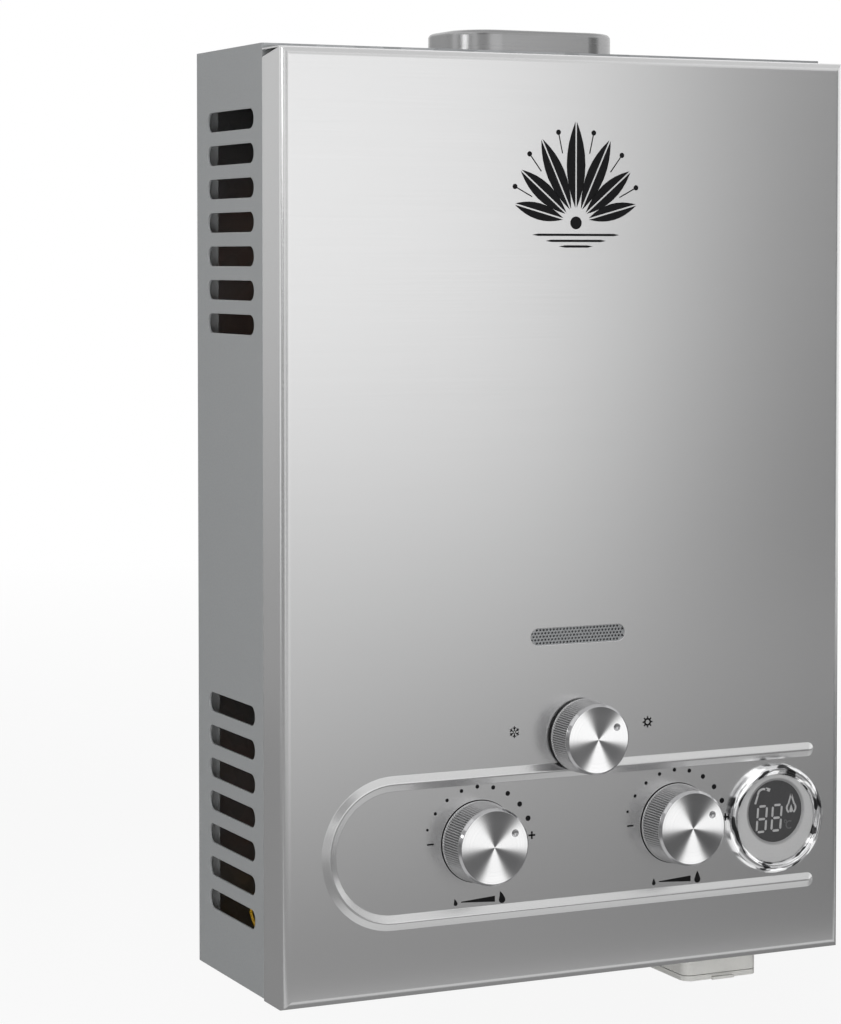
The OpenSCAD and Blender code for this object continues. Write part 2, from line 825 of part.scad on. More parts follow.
// Flue collar with a rolled rim, its flange under the top plate
module flue_collar() {
    color("gainsboro") translate([0, -flue_y, zt]) around_rect(flue_w, flue_d, flue_r) {
        translate([flue_r - flue_sheet, -sheet - flue_sheet])
            square([flue_sheet, flue_h - flue_rim + sheet + flue_sheet]);
        translate([flue_r - flue_sheet, -sheet - flue_sheet]) square([flue_sheet + flue_flange, flue_sheet]);
        intersection() {
            translate([flue_r - flue_rim, flue_h - flue_rim]) difference() {
                circle(flue_rim);
                circle(flue_rim - flue_sheet);
            }
            translate([flue_r - flue_rim, flue_h - flue_rim]) square(flue_rim);
        }
    }
}

// Tapered hood from the chamber up to the flue collar
module hood_shape(gap) {
    hull() {
        block(
            [-chamber_w / 2 + gap, chamber_front + gap, chamber_top],
            [chamber_w / 2 - gap, chamber_rear - gap, chamber_top + 0.01]
        );
        block(
            [-flue_w / 2 - 2 + gap, -flue_y - flue_d / 2 - 2 + gap, chamber_top + hood_h - 0.01],
            [flue_w / 2 + 2 - gap, -flue_y + flue_d / 2 + 2 - gap, chamber_top + hood_h]
        );
    }
}

module flue_hood() {
    color("silver") difference() {
        hood_shape(0);
        translate([0, 0, -0.02]) hood_shape(flue_sheet);
        translate([0, 0, 0.02]) hood_shape(flue_sheet);
    }
}

// Two screws that hold the cover's lower edge to the bottom plate
module cover_screws() {
    color("silver") for (s = [-1, 1]) {
        translate([s * screw_x, yf - 8, cover_bottom]) difference() {
            union() {
                translate([0, 0, -2.2]) cylinder(r = 3.6, h = 2.2);
                translate([0, 0, -0.01]) cylinder(r = 1.9, h = 9);
            }
            for (a = [0, 90]) {
                rotate([0, 0, a]) translate([-2.2, -0.4, -3.2]) cube([4.4, 0.8, 2]);
            }
        }
    }
}

// Heat exchanger

// Copper box, open at the top and bottom, with holes for the tube passes and the electrodes
module combustion_chamber() {
    color("peru") difference() {
        block([-chamber_w / 2, chamber_front, chamber_bottom], [chamber_w / 2, chamber_rear, chamber_top]);
        block(
            [-chamber_w / 2 + copper, chamber_front + copper, chamber_bottom - 1],
            [chamber_w / 2 - copper, chamber_rear - copper, chamber_top + 1]
        );
        for (i = [-2:2]) {
            disc_x(chamber_mid + i * tube_pitch, tube_z, -chamber_w, chamber_w, tube_r + run);
        }
        for (s = [-1, 1]) {
            x = s * electrode_gap / 2;
            disc_y(x, electrode_z, chamber_front - 1, chamber_front + copper + 1, 4 + run);
        }
    }
}

// Thin copper fins on the tube passes
module exchanger_fins() {
    color("peru") for (i = [0:fin_count - 1]) {
        x = -chamber_w / 2 + copper + 3 + i * fin_pitch;
        along_x(x, x + fin_t) difference() {
            translate([chamber_front + copper + 0.5, tube_z - fin_h / 2])
                square([chamber_d - 2 * copper - 1, fin_h]);
            for (k = [-2:2]) {
                translate([chamber_mid + k * tube_pitch, tube_z]) circle(tube_r + run);
            }
        }
    }
}

// One tube that passes through the fins five times
module exchanger_tube() {
    color("chocolate") bent_tube(tube_path, tube_r, tube_pitch / 2);
}

// Two bent brackets between the back panel and the chamber
module chamber_brackets() {
    z = chamber_bottom + bracket_up;
    color("silver") for (s = [-1, 1]) {
        along_x(s * bracket_x - bracket_w / 2, s * bracket_x + bracket_w / 2) {
            translate([-sheet - bracket_t, z]) square([bracket_t, bracket_leg]);
            translate([chamber_rear, z]) square([-sheet - chamber_rear, bracket_t]);
            translate([chamber_rear, z - bracket_drop]) square([bracket_t, bracket_drop + bracket_t]);
        }
    }
}

// Snap disc switch on the chamber's left wall
module overheat_switch() {
    color("black") {
        disc_x(chamber_mid, chamber_bottom + 80, -chamber_w / 2 - 6, -chamber_w / 2, overheat_r);
        for (s = [-1, 1]) {
            translate([-chamber_w / 2 - 13, chamber_mid + s * 3.5 - 0.4, chamber_bottom + 78])
                cube([8, 0.8, 4]);
        }
    }
}

// Burner

// Frame under the chamber, open at the top and bottom, with a hole for each nozzle
module burner_frame() {
    color("silver") difference() {
        block([-chamber_w / 2, chamber_front, burner_bottom], [chamber_w / 2, chamber_rear, chamber_bottom]);
        block(
            [-chamber_w / 2 + copper, chamber_front + copper, burner_bottom - 1],
            [chamber_w / 2 - copper, chamber_rear - copper, chamber_bottom + 1]
        );
        for (i = [0:bar_count - 1]) {
            x = (i - (bar_count - 1) / 2) * bar_pitch;
            disc_y(x, manifold_z, chamber_front - 1, chamber_front + copper + 1, 4);
        }
    }
}

// Hollow burner bars with a toothed top edge and a mixing bore at the front
module burner_bars() {
    front = chamber_front + copper + run;
    rear = chamber_rear - copper - run;
    teeth = 9;
    step = (rear - front) / (2 * teeth + 1);
    color("slategray") for (i = [0:bar_count - 1]) {
        x = (i - (bar_count - 1) / 2) * bar_pitch;
        difference() {
            along_x(x - bar_t / 2, x + bar_t / 2) {
                translate([front, burner_bottom + 4]) square([rear - front, burner_h - 16]);
                for (k = [0:teeth]) {
                    translate([front + 2 * k * step, burner_bottom + burner_h - 12.5]) square([step, 6.5]);
                }
            }
            disc_y(x, manifold_z, front - 1, front + 14, nozzle_r + 1);
            block(
                [x - bar_t / 2 + copper, front + 2, burner_bottom + 6],
                [x + bar_t / 2 - copper, rear - 2, burner_bottom + burner_h - 14]
            );
        }
    }
}

// Square gas pipe in front of the burner
module gas_manifold() {
    color("silver") difference() {
        block(
            [-manifold_len / 2, manifold_y - manifold / 2, manifold_z - manifold / 2],
            [manifold_len / 2, manifold_y + manifold / 2, manifold_z + manifold / 2]
        );
        block(
            [-manifold_len / 2 + 1.5, manifold_y - manifold / 2 + 1.5, manifold_z - manifold / 2 + 1.5],
            [manifold_len / 2 - 1.5, manifold_y + manifold / 2 - 1.5, manifold_z + manifold / 2 - 1.5]
        );
        disc_z(riser_x, manifold_y, manifold_z - manifold, manifold_z, riser_r - tube_wall);
        for (i = [0:bar_count - 1]) {
            disc_y((i - (bar_count - 1) / 2) * bar_pitch, manifold_z, manifold_y, manifold_y + manifold, 1);
        }
    }
}

// Brass nozzles on the manifold, one to each burner bar
module gas_nozzles() {
    color("goldenrod") for (i = [0:bar_count - 1]) {
        translate([(i - (bar_count - 1) / 2) * bar_pitch, manifold_y + manifold / 2, manifold_z])
            rotate([-90, 0, 0]) difference() {
                union() {
                    hex_bar(7, 3.5);
                    translate([0, 0, 3.4]) cylinder(r = nozzle_r, h = 6);
                }
                translate([0, 0, -1]) cylinder(r = 0.6, h = 12);
            }
    }
}

// Spark and flame electrodes through the chamber's front wall
module electrodes() {
    color("silver") for (s = [-1, 1]) {
        disc_y(s * electrode_gap / 2, electrode_z, chamber_front - 18, chamber_front + 24, 1.2);
    }
}

// Ceramic sleeves with a shoulder, held in the chamber's front wall
module electrode_insulators() {
    color("white") for (s = [-1, 1]) {
        difference() {
            union() {
                disc_y(s * electrode_gap / 2, electrode_z, chamber_front - 14, chamber_front + 10, 4);
                disc_y(s * electrode_gap / 2, electrode_z, chamber_front - 4, chamber_front, 6);
            }
            disc_y(s * electrode_gap / 2, electrode_z, chamber_front - 20, chamber_front + 20, 1.2 + run);
        }
    }
}

// Leads from the ignition controller to the electrodes
module electrode_leads() {
    color("crimson") for (p = spark_leads) {
        lead(p);
    }
}

// Gas side

// Die-cast body that carries the gas and season shafts and the end of the push rod
module gas_valve_body() {
    color("gainsboro") difference() {
        union() {
            block([gas_left, valve_front, gas_bottom], [gas_right, valve_rear, gas_gallery + 2]);
            block([gas_left, vy - 12, gas_gallery], [cover_x0 - 1.5, vy + 18, gas_gallery + 16]);
            block(
                [season_x - season_half, valve_front, season_z - season_rise],
                [season_x + season_half, vy + 20, season_z + season_rise]
            );
            disc_y(gx, knob_z, valve_front - boss_len, valve_front + 1, shaft_r + 5);
            disc_y(season_x, season_z, valve_front - boss_len, valve_front + 1, shaft_r + 5);
        }
        disc_y(gx, knob_z, valve_front - boss_len - 1, valve_front + 12, shaft_r + run);
        disc_y(season_x, season_z, valve_front - boss_len - 1, valve_front + 12, shaft_r + run);
        disc_x(vy, knob_z, gas_right - 20, gas_right + 1, rod_r + run);
        disc_z(gx, port, gas_bottom - 1, gas_bottom + 24, bore_r);
        disc_x(vy, season_z, season_x + 8, season_x + season_half + 1, riser_r - tube_wall);
    }
}

// Solenoid on the left of the gas valve
module gas_solenoid() {
    color("navy") {
        disc_x(vy, knob_z, gas_left - solenoid_len, gas_left - 3, solenoid_r);
        disc_x(vy, knob_z, gas_left - 3.01, gas_left, solenoid_r - 3);
    }
}

// Pipe from the gas valve up to the manifold
module gas_riser() {
    color("silver") bent_tube(riser_path, riser_r, riser_bend);
}

// Threaded connection through the bottom plate with a hexagon inside the case
module connection(x, top) {
    difference() {
        union() {
            disc_z(x, port, zb - thread_len, zb - undercut_h, thread_r);
            disc_z(x, port, zb - thread_len, zb + sheet + 0.01, undercut_r);
            translate([x, port, zb + sheet]) hex_bar(hex_flats, hex_h);
            disc_z(x, port, zb + sheet + hex_h - 0.01, top, spigot_r);
        }
        disc_z(x, port, zb - thread_len - 1, top + 1, bore_r);
    }
}

module gas_inlet_fitting() {
    color("goldenrod") connection(gx, gas_bottom);
}

// Water side

// Brass body with the right half of the diaphragm housing and the water shaft
module water_valve_body() {
    color("goldenrod") difference() {
        union() {
            disc_x(vy, knob_z, water_left - housing_t, water_left + 0.01, diaphragm_r);
            block([water_left, valve_front, water_bottom], [water_right, vy + 20, water_top]);
            block([wx - 14, vy, water_bottom], [wx + 14, valve_rear, knob_z + 4]);
            disc_y(wx, knob_z, valve_front - boss_len, valve_front + 1, shaft_r + 5);
            disc_z(outlet_x, vy, water_top - 1, water_top + 8, spigot_r);
        }
        disc_x(vy, knob_z, water_left - housing_t - 1, water_left - 4, diaphragm_r - 9);
        disc_y(wx, knob_z, valve_front - boss_len - 1, valve_front + 12, shaft_r + run);
        disc_z(wx, port, water_bottom - 1, water_bottom + 18, bore_r);
        disc_z(outlet_x, vy, knob_z + 6, water_top + 9, pipe_r - tube_wall);
        for (i = [0:5]) {
            rotated_hole(i, water_left - housing_t - 1, water_left - 2);
        }
    }
}

// Hole for one diaphragm screw
module rotated_hole(i, x0, x1) {
    a = 30 + 60 * i;
    disc_x(vy + (diaphragm_r - 4.5) * cos(a), knob_z + (diaphragm_r - 4.5) * sin(a), x0, x1, 1.5 + run);
}

// Rubber diaphragm between the housing halves
module diaphragm() {
    color("black") difference() {
        disc_x(vy, knob_z, cover_x1, cover_x1 + membrane_t, diaphragm_r);
        for (i = [0:5]) {
            rotated_hole(i, cover_x1 - 1, cover_x1 + membrane_t + 1);
        }
    }
}

// Left half of the diaphragm housing, with the guide of the push rod
module diaphragm_cover() {
    color("goldenrod") difference() {
        union() {
            disc_x(vy, knob_z, cover_x0 + 5, cover_x1, diaphragm_r);
            disc_x(vy, knob_z, cover_x0, cover_x0 + 6, 10);
        }
        disc_x(vy, knob_z, cover_x1 - 2.5, cover_x1 + 1, diaphragm_r - 9);
        disc_x(vy, knob_z, cover_x0 - 1, cover_x1, rod_r + run);
        for (i = [0:5]) {
            rotated_hole(i, cover_x0, cover_x1 + 1);
        }
    }
}

// Six screws through the diaphragm housing
module diaphragm_screws() {
    color("silver") for (i = [0:5]) {
        a = 30 + 60 * i;
        y = vy + (diaphragm_r - 4.5) * cos(a);
        z = knob_z + (diaphragm_r - 4.5) * sin(a);
        disc_x(y, z, cover_x0 + 2.6, cover_x0 + 5, 2.8);
        disc_x(y, z, cover_x0 + 4.99, water_left - 4, 1.5);
    }
}

module water_inlet_fitting() {
    color("goldenrod") connection(wx, water_bottom);
}

module water_outlet_fitting() {
    color("goldenrod") connection(out_x, hot_end);
}

// Pipe from the water valve up to the exchanger
module cold_pipe() {
    color("chocolate") bent_tube(cold_path, pipe_r, pipe_bend);
}

// Pipe from the exchanger down to the outlet
module hot_pipe() {
    color("chocolate") bent_tube(hot_path, pipe_r, pipe_bend);
}

// Hexagon union nuts at the lower ends of the two pipes
module union_nuts() {
    color("goldenrod") {
        for (p = [[out_x, port, hot_end], [outlet_x, vy, water_top + 8]]) {
            translate(p) difference() {
                hex_bar(17, 10);
                translate([0, 0, -1]) cylinder(r = pipe_r + run, h = 12);
            }
        }
    }
}

// Bent strip that carries both valves on the back panel
module valve_bracket() {
    left = gas_left + 4;
    right = wx + 12;
    color("silver") translate([0, 0, knob_z - 16]) linear_extrude(18) {
        translate([left, valve_rear]) square([right - left, 1.5]);
        translate([left, valve_rear]) square([1.5, -valve_rear - sheet]);
        translate([right - 1.5, valve_rear]) square([1.5, -valve_rear - sheet]);
        translate([left - 12, -sheet - 1.5]) square([13.5, 1.5]);
        translate([right - 1.5, -sheet - 1.5]) square([7, 1.5]);
    }
}

// Linkage

// Push rod from the diaphragm to the gas valve, with a collar for the switch lever
module push_rod() {
    color("lightsteelblue") {
        disc_x(vy, knob_z, gas_right - 12, cover_x1 - fit, rod_r);
        disc_x(vy, knob_z, collar_x - collar_t / 2, collar_x + collar_t / 2, collar_r);
    }
}

// Switch under the gas gallery with two ears for the lever
module microswitch() {
    color("maroon") difference() {
        union() {
            block([lever_x - 24, vy - 6, lever_z + 2], [lever_x + 4, vy + 6, gas_gallery]);
            for (s = [-1, 1]) {
                y = vy + s * 5;
                block([lever_x - 3, y - 1, lever_z - 2], [lever_x + 3, y + 1, lever_z + 2.01]);
            }
        }
        disc_y(lever_x, lever_z, vy - 8, vy + 8, lever_pin_r + run);
    }
}

// Lever that hangs beside the collar
module switch_lever() {
    color("silver") {
        disc_y(lever_x, lever_z, vy - 6, vy + 6, lever_pin_r);
        block([lever_x - lever_t / 2, vy - 3, lever_z - lever_len], [lever_x + lever_t / 2, vy + 3, lever_z]);
    }
}

// Controls

// Control shaft with a flat at its front end
module shaft(x, z) {
    color("silver") difference() {
        disc_y(x, z, knob_foot - 10, valve_front + 11, shaft_r);
        block(
            [x + shaft_r - shaft_flat, knob_foot - 11, z - shaft_r],
            [x + shaft_r + 1, knob_foot + 0.5, z + shaft_r]
        );
    }
}

// Hollow knob with a hub on the shaft, its skirt drawn back by the length given
module knob(x, z, size, skirt) {
    top = knob_h - face_t;
    foot = size * knob_r;
    face = size * knob_face_r;
    color("gainsboro") translate([x, knob_foot, z]) rotate([90, 0, 0]) difference() {
        rotate_extrude() polygon([
            [0, 0.6], [shaft_r + 2.6, 0.6], [shaft_r + 2.6, top - 2.4], [face - 2, top - 2.4],
            [foot - 2.2, -skirt], [foot, -skirt], [foot, 1.2 - skirt], [face + knob_edge, top], [0, top]
        ]);
        difference() {
            translate([0, 0, -1]) cylinder(r = shaft_r + run, h = 11.3);
            translate([shaft_r - shaft_flat + run, -shaft_r - 1, -2]) cube([shaft_r, 2 * shaft_r + 2, 14]);
        }
    }
}

// Spun metal face with a polished edge and the pointer dimple
module knob_face(x, z, size) {
    top = knob_h - face_t;
    face = size * knob_face_r;
    color("whitesmoke") translate([x, knob_foot, z]) rotate([90, 0, 0]) difference() {
        rotate_extrude() polygon([
            [0, top], [face + knob_edge, top], [face + knob_edge, top + 0.2], [face, knob_h], [0, knob_h]
        ]);
        rotate([0, 0, dimple_angle]) translate([size * dimple_at, 0, knob_h + 1.4]) sphere(r = 2.3);
    }
}

module gas_knob() {
    knob(gx, knob_z, 1, bead_h);
}

module gas_knob_face() {
    knob_face(gx, knob_z, 1);
}

module gas_shaft() {
    shaft(gx, knob_z);
}

module water_knob() {
    knob(wx, knob_z, 1, bead_h);
}

module water_knob_face() {
    knob_face(wx, knob_z, 1);
}

module water_shaft() {
    shaft(wx, knob_z);
}

module season_knob() {
    knob(season_x, season_z, season_size, 0);
}

module season_knob_face() {
    knob_face(season_x, season_z, season_size);
}

module season_shaft() {
    shaft(season_x, season_z);
}

// Display

// Puts a piece drawn along +Z on the cover at the display
module at_display() {
    translate([display_x, cover_front, display_z]) rotate([90, 0, 0]) children();
}

// Chrome ring on the cover with a barrel through it
module display_bezel() {
    ring = display_r - display_face_r;
    color("white") at_display() rotate_extrude() {
        translate([display_face_r, 0]) square([ring, 1.6]);
        intersection() {
            translate([display_face_r + ring / 2, 1.6]) circle(ring / 2);
            translate([display_face_r, 0]) square([ring, 2 * ring]);
        }
        translate([display_face_r, -display_deep]) square([1, display_deep + 0.01]);
    }
}

// Fascia disc inside the ring, open at the window
module display_fascia() {
    color("darkgray") at_display() difference() {
        translate([0, 0, 0.2]) cylinder(r = display_face_r - run, h = 1.6);
        translate([0, window_up, -1]) cylinder(r = window_r + run, h = 4);
        translate([0, window_up, 1.2]) cylinder(r1 = window_r + run, r2 = window_r + 1.2, h = 0.61);
    }
}

// Dark window disc
module display_window() {
    color("black") at_display() translate([0, window_up, 0.2]) cylinder(r = window_r, h = 1);
}

// Circuit board at the rear of the barrel
module display_board() {
    color("green") at_display() {
        translate([0, 0, -display_deep + 1]) cylinder(r = display_face_r - run, h = 1.6);
        translate([0, window_up, -display_deep + 2.59]) cylinder(r = window_r - 2, h = display_deep - 2.4);
    }
}

// Electrics

// Flat box on the left side panel with three sockets
module ignition_controller() {
    color("black") {
        block([ctrl_x, ctrl_y0, ctrl_z0], [ctrl_x + ctrl_t, ctrl_y1, ctrl_z1]);
        for (z = [ctrl_z0 - ctrl_tab, ctrl_z1 - 0.01]) {
            block(
                [ctrl_x, ctrl_y0 + ctrl_tab_in, z],
                [ctrl_x + ctrl_tab_t, ctrl_y1 - ctrl_tab_in, z + ctrl_tab + 0.01]
            );
        }
    }
}

// Box for two upright cells, dropped through the bottom plate on its flange
module battery_box() {
    color("ivory") difference() {
        union() {
            translate([box_x, box_mid, box_bottom])
                linear_extrude(box_top - box_bottom) rounded_rect(box_w, box_d, box_r);
            translate([box_x, box_mid - 0.6, zb + sheet])
                linear_extrude(2) rounded_rect(box_w + 6, box_d + 4.8, box_r + 2);
            for (s = [-1, 1]) {
                disc_x(
                    hinge_y, hinge_z, box_x + s * (box_w / 2 - box_r - knuckle / 2) - knuckle / 2,
                    box_x + s * (box_w / 2 - box_r - knuckle / 2) + knuckle / 2, hinge_r
                );
            }
        }
        translate([box_x, box_mid, box_bottom - 1])
            linear_extrude(box_top - box_bottom - box_wall + 1)
                rounded_rect(box_w - 2 * box_wall, box_d - 2 * box_wall, box_r - box_wall);
        disc_x(
            hinge_y, hinge_z, box_x - box_w / 2 + box_r + knuckle - 0.01,
            box_x + box_w / 2 - box_r - knuckle + 0.01, hinge_r + fit
        );
        disc_x(hinge_y, hinge_z, box_x - box_w, box_x + box_w, pin_r + run);
    }
}

// Door under the box, hinged at the rear, with a finger tab at the front
module battery_door() {
    inner = box_w / 2 - box_r - knuckle - fit;
    color("ivory") difference() {
        union() {
            difference() {
                union() {
                    translate([box_x, box_mid, door_bottom])
                        linear_extrude(door_t) rounded_rect(box_w, box_d, box_r);
                    block(
                        [box_x - 6, -box_front - 1.8, door_bottom],
                        [box_x + 6, -box_front + 1, door_bottom + 1.4]
                    );
                }
                for (s = [-1, 1]) {
                    disc_x(
                        hinge_y, hinge_z, box_x + (s < 0 ? -box_w : inner), box_x + (s < 0 ? -inner : box_w),
                        hinge_r + fit
                    );
                }
            }
            disc_x(hinge_y, hinge_z, box_x - inner, box_x + inner, hinge_r);
        }
        disc_x(hinge_y, hinge_z, box_x - box_w, box_x + box_w, pin_r + run);
    }
}

// Hinge pin of the door
module door_pin() {
    color("silver")
        disc_x(hinge_y, hinge_z, box_x - box_w / 2 + box_r, box_x + box_w / 2 - box_r, pin_r);
}

// Contact strip on the door that joins both cells
module door_contact() {
    color("gold") block(
        [box_x - 6, box_mid - cell_d / 2 - 8, door_top], [box_x + 6, box_mid + cell_d / 2 + 8, door_top + 0.6]
    );
}

// Two cells with a raised contact on top
module batteries() {
    color("darkslategray") for (s = [-1, 1]) {
        y = box_mid + s * (cell_d + fit) / 2;
        disc_z(box_x, y, cell_bottom, cell_bottom + cell_len - 1.5, cell_d / 2);
        disc_z(box_x, y, cell_bottom + cell_len - 1.51, cell_bottom + cell_len, 4.7);
    }
}

// Contact plates at the top of the box
module battery_contacts() {
    z = box_top - box_wall;
    color("gold") for (s = [-1, 1]) {
        block(
            [box_x - 9, box_mid + s * cell_d / 2 - 9, z - 0.5],
            [box_x + 9, box_mid + s * cell_d / 2 + 9, z]
        );
    }
}

// Leads between the controller, the battery box and the display
module power_leads() {
    color("gold") {
        for (p = supply_leads) {
            lead(p);
        }
        for (p = display_leads) {
            lead(p);
        }
    }
}

back_panel();
left_side_panel();
right_side_panel();
top_plate();
bottom_plate();
front_cover();
sight_grille();
flue_collar();
flue_hood();
cover_screws();
combustion_chamber();
exchanger_fins();
exchanger_tube();
chamber_brackets();
overheat_switch();
burner_frame();
burner_bars();
gas_manifold();
gas_nozzles();
electrodes();
electrode_insulators();
electrode_leads();
gas_valve_body();
gas_solenoid();
gas_riser();
gas_inlet_fitting();
water_valve_body();
diaphragm();
diaphragm_cover();
diaphragm_screws();
water_inlet_fitting();
cold_pipe();
hot_pipe();
water_outlet_fitting();
union_nuts();
valve_bracket();
push_rod();
microswitch();
switch_lever();
gas_knob();
gas_knob_face();
gas_shaft();
water_knob();
water_knob_face();
water_shaft();
season_knob();
season_knob_face();
season_shaft();
display_bezel();
display_fascia();
display_window();
display_board();
ignition_controller();
battery_box();
battery_door();
door_pin();
door_contact();
batteries();
battery_contacts();
power_leads();
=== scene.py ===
"""Looks of a wall-hung instantaneous water heater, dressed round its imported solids."""

import json
import logging
import math
from dataclasses import dataclass, field
from enum import Enum
from functools import cache
from typing import Callable, Sequence

import bpy
from mathutils import Matrix, Vector


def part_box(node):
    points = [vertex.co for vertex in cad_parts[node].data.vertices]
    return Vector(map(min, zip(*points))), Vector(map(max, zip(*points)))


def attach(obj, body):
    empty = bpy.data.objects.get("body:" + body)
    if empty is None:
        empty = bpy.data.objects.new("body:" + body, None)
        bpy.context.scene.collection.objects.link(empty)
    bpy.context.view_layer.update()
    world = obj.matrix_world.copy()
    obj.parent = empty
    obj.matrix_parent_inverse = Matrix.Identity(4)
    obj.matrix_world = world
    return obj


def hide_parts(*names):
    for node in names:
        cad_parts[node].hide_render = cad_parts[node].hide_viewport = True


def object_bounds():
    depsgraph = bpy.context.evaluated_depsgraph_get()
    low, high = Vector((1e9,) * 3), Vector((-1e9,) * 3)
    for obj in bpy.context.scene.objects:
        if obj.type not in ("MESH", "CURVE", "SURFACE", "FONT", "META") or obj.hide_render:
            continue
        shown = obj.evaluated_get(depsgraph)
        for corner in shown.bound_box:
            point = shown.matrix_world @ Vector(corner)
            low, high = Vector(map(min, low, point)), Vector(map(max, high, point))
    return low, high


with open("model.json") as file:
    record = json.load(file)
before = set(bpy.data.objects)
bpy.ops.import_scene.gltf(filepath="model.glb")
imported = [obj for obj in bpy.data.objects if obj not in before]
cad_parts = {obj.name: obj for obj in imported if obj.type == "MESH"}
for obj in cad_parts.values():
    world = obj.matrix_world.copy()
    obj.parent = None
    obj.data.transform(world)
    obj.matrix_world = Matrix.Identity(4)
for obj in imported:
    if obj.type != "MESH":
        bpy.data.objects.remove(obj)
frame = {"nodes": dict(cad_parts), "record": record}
CAD_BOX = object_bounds()

LOG = logging.getLogger("heater")
MM = 0.001

Colour = tuple[float, float, float]
Triple = tuple[float, float, float]
Pair = tuple[float, float]
Profile = Sequence[Pair]
Node, Socket, Tree = bpy.types.Node, bpy.types.NodeSocket, bpy.types.NodeTree
Piece, Side = bpy.types.Object, bpy.types.MeshPolygon

ZERO: Triple = (0.0, 0.0, 0.0)
UPRIGHT: Triple = (0.0, 0.0, 1.0)
FORE_AFT: Triple = (0.0, 1.0, 0.0)
ACROSS_FRONT: Triple = (1.0, 0.0, 1.0)
WHITE = (1.0, 1.0, 1.0, 1.0)


class Pattern(Enum):
    """What the surface of a finish shows close up."""

    BRUSHED = "brushed"
    RINGS = "rings"
    SPANGLE = "spangle"
    GRAIN = "grain"


class Facing(Enum):
    """Way that a piece drawn along +Z is turned into place."""

    UP = (0.0, 0.0, 0.0)
    FRONT = (math.pi / 2, 0.0, 0.0)


# Node trees


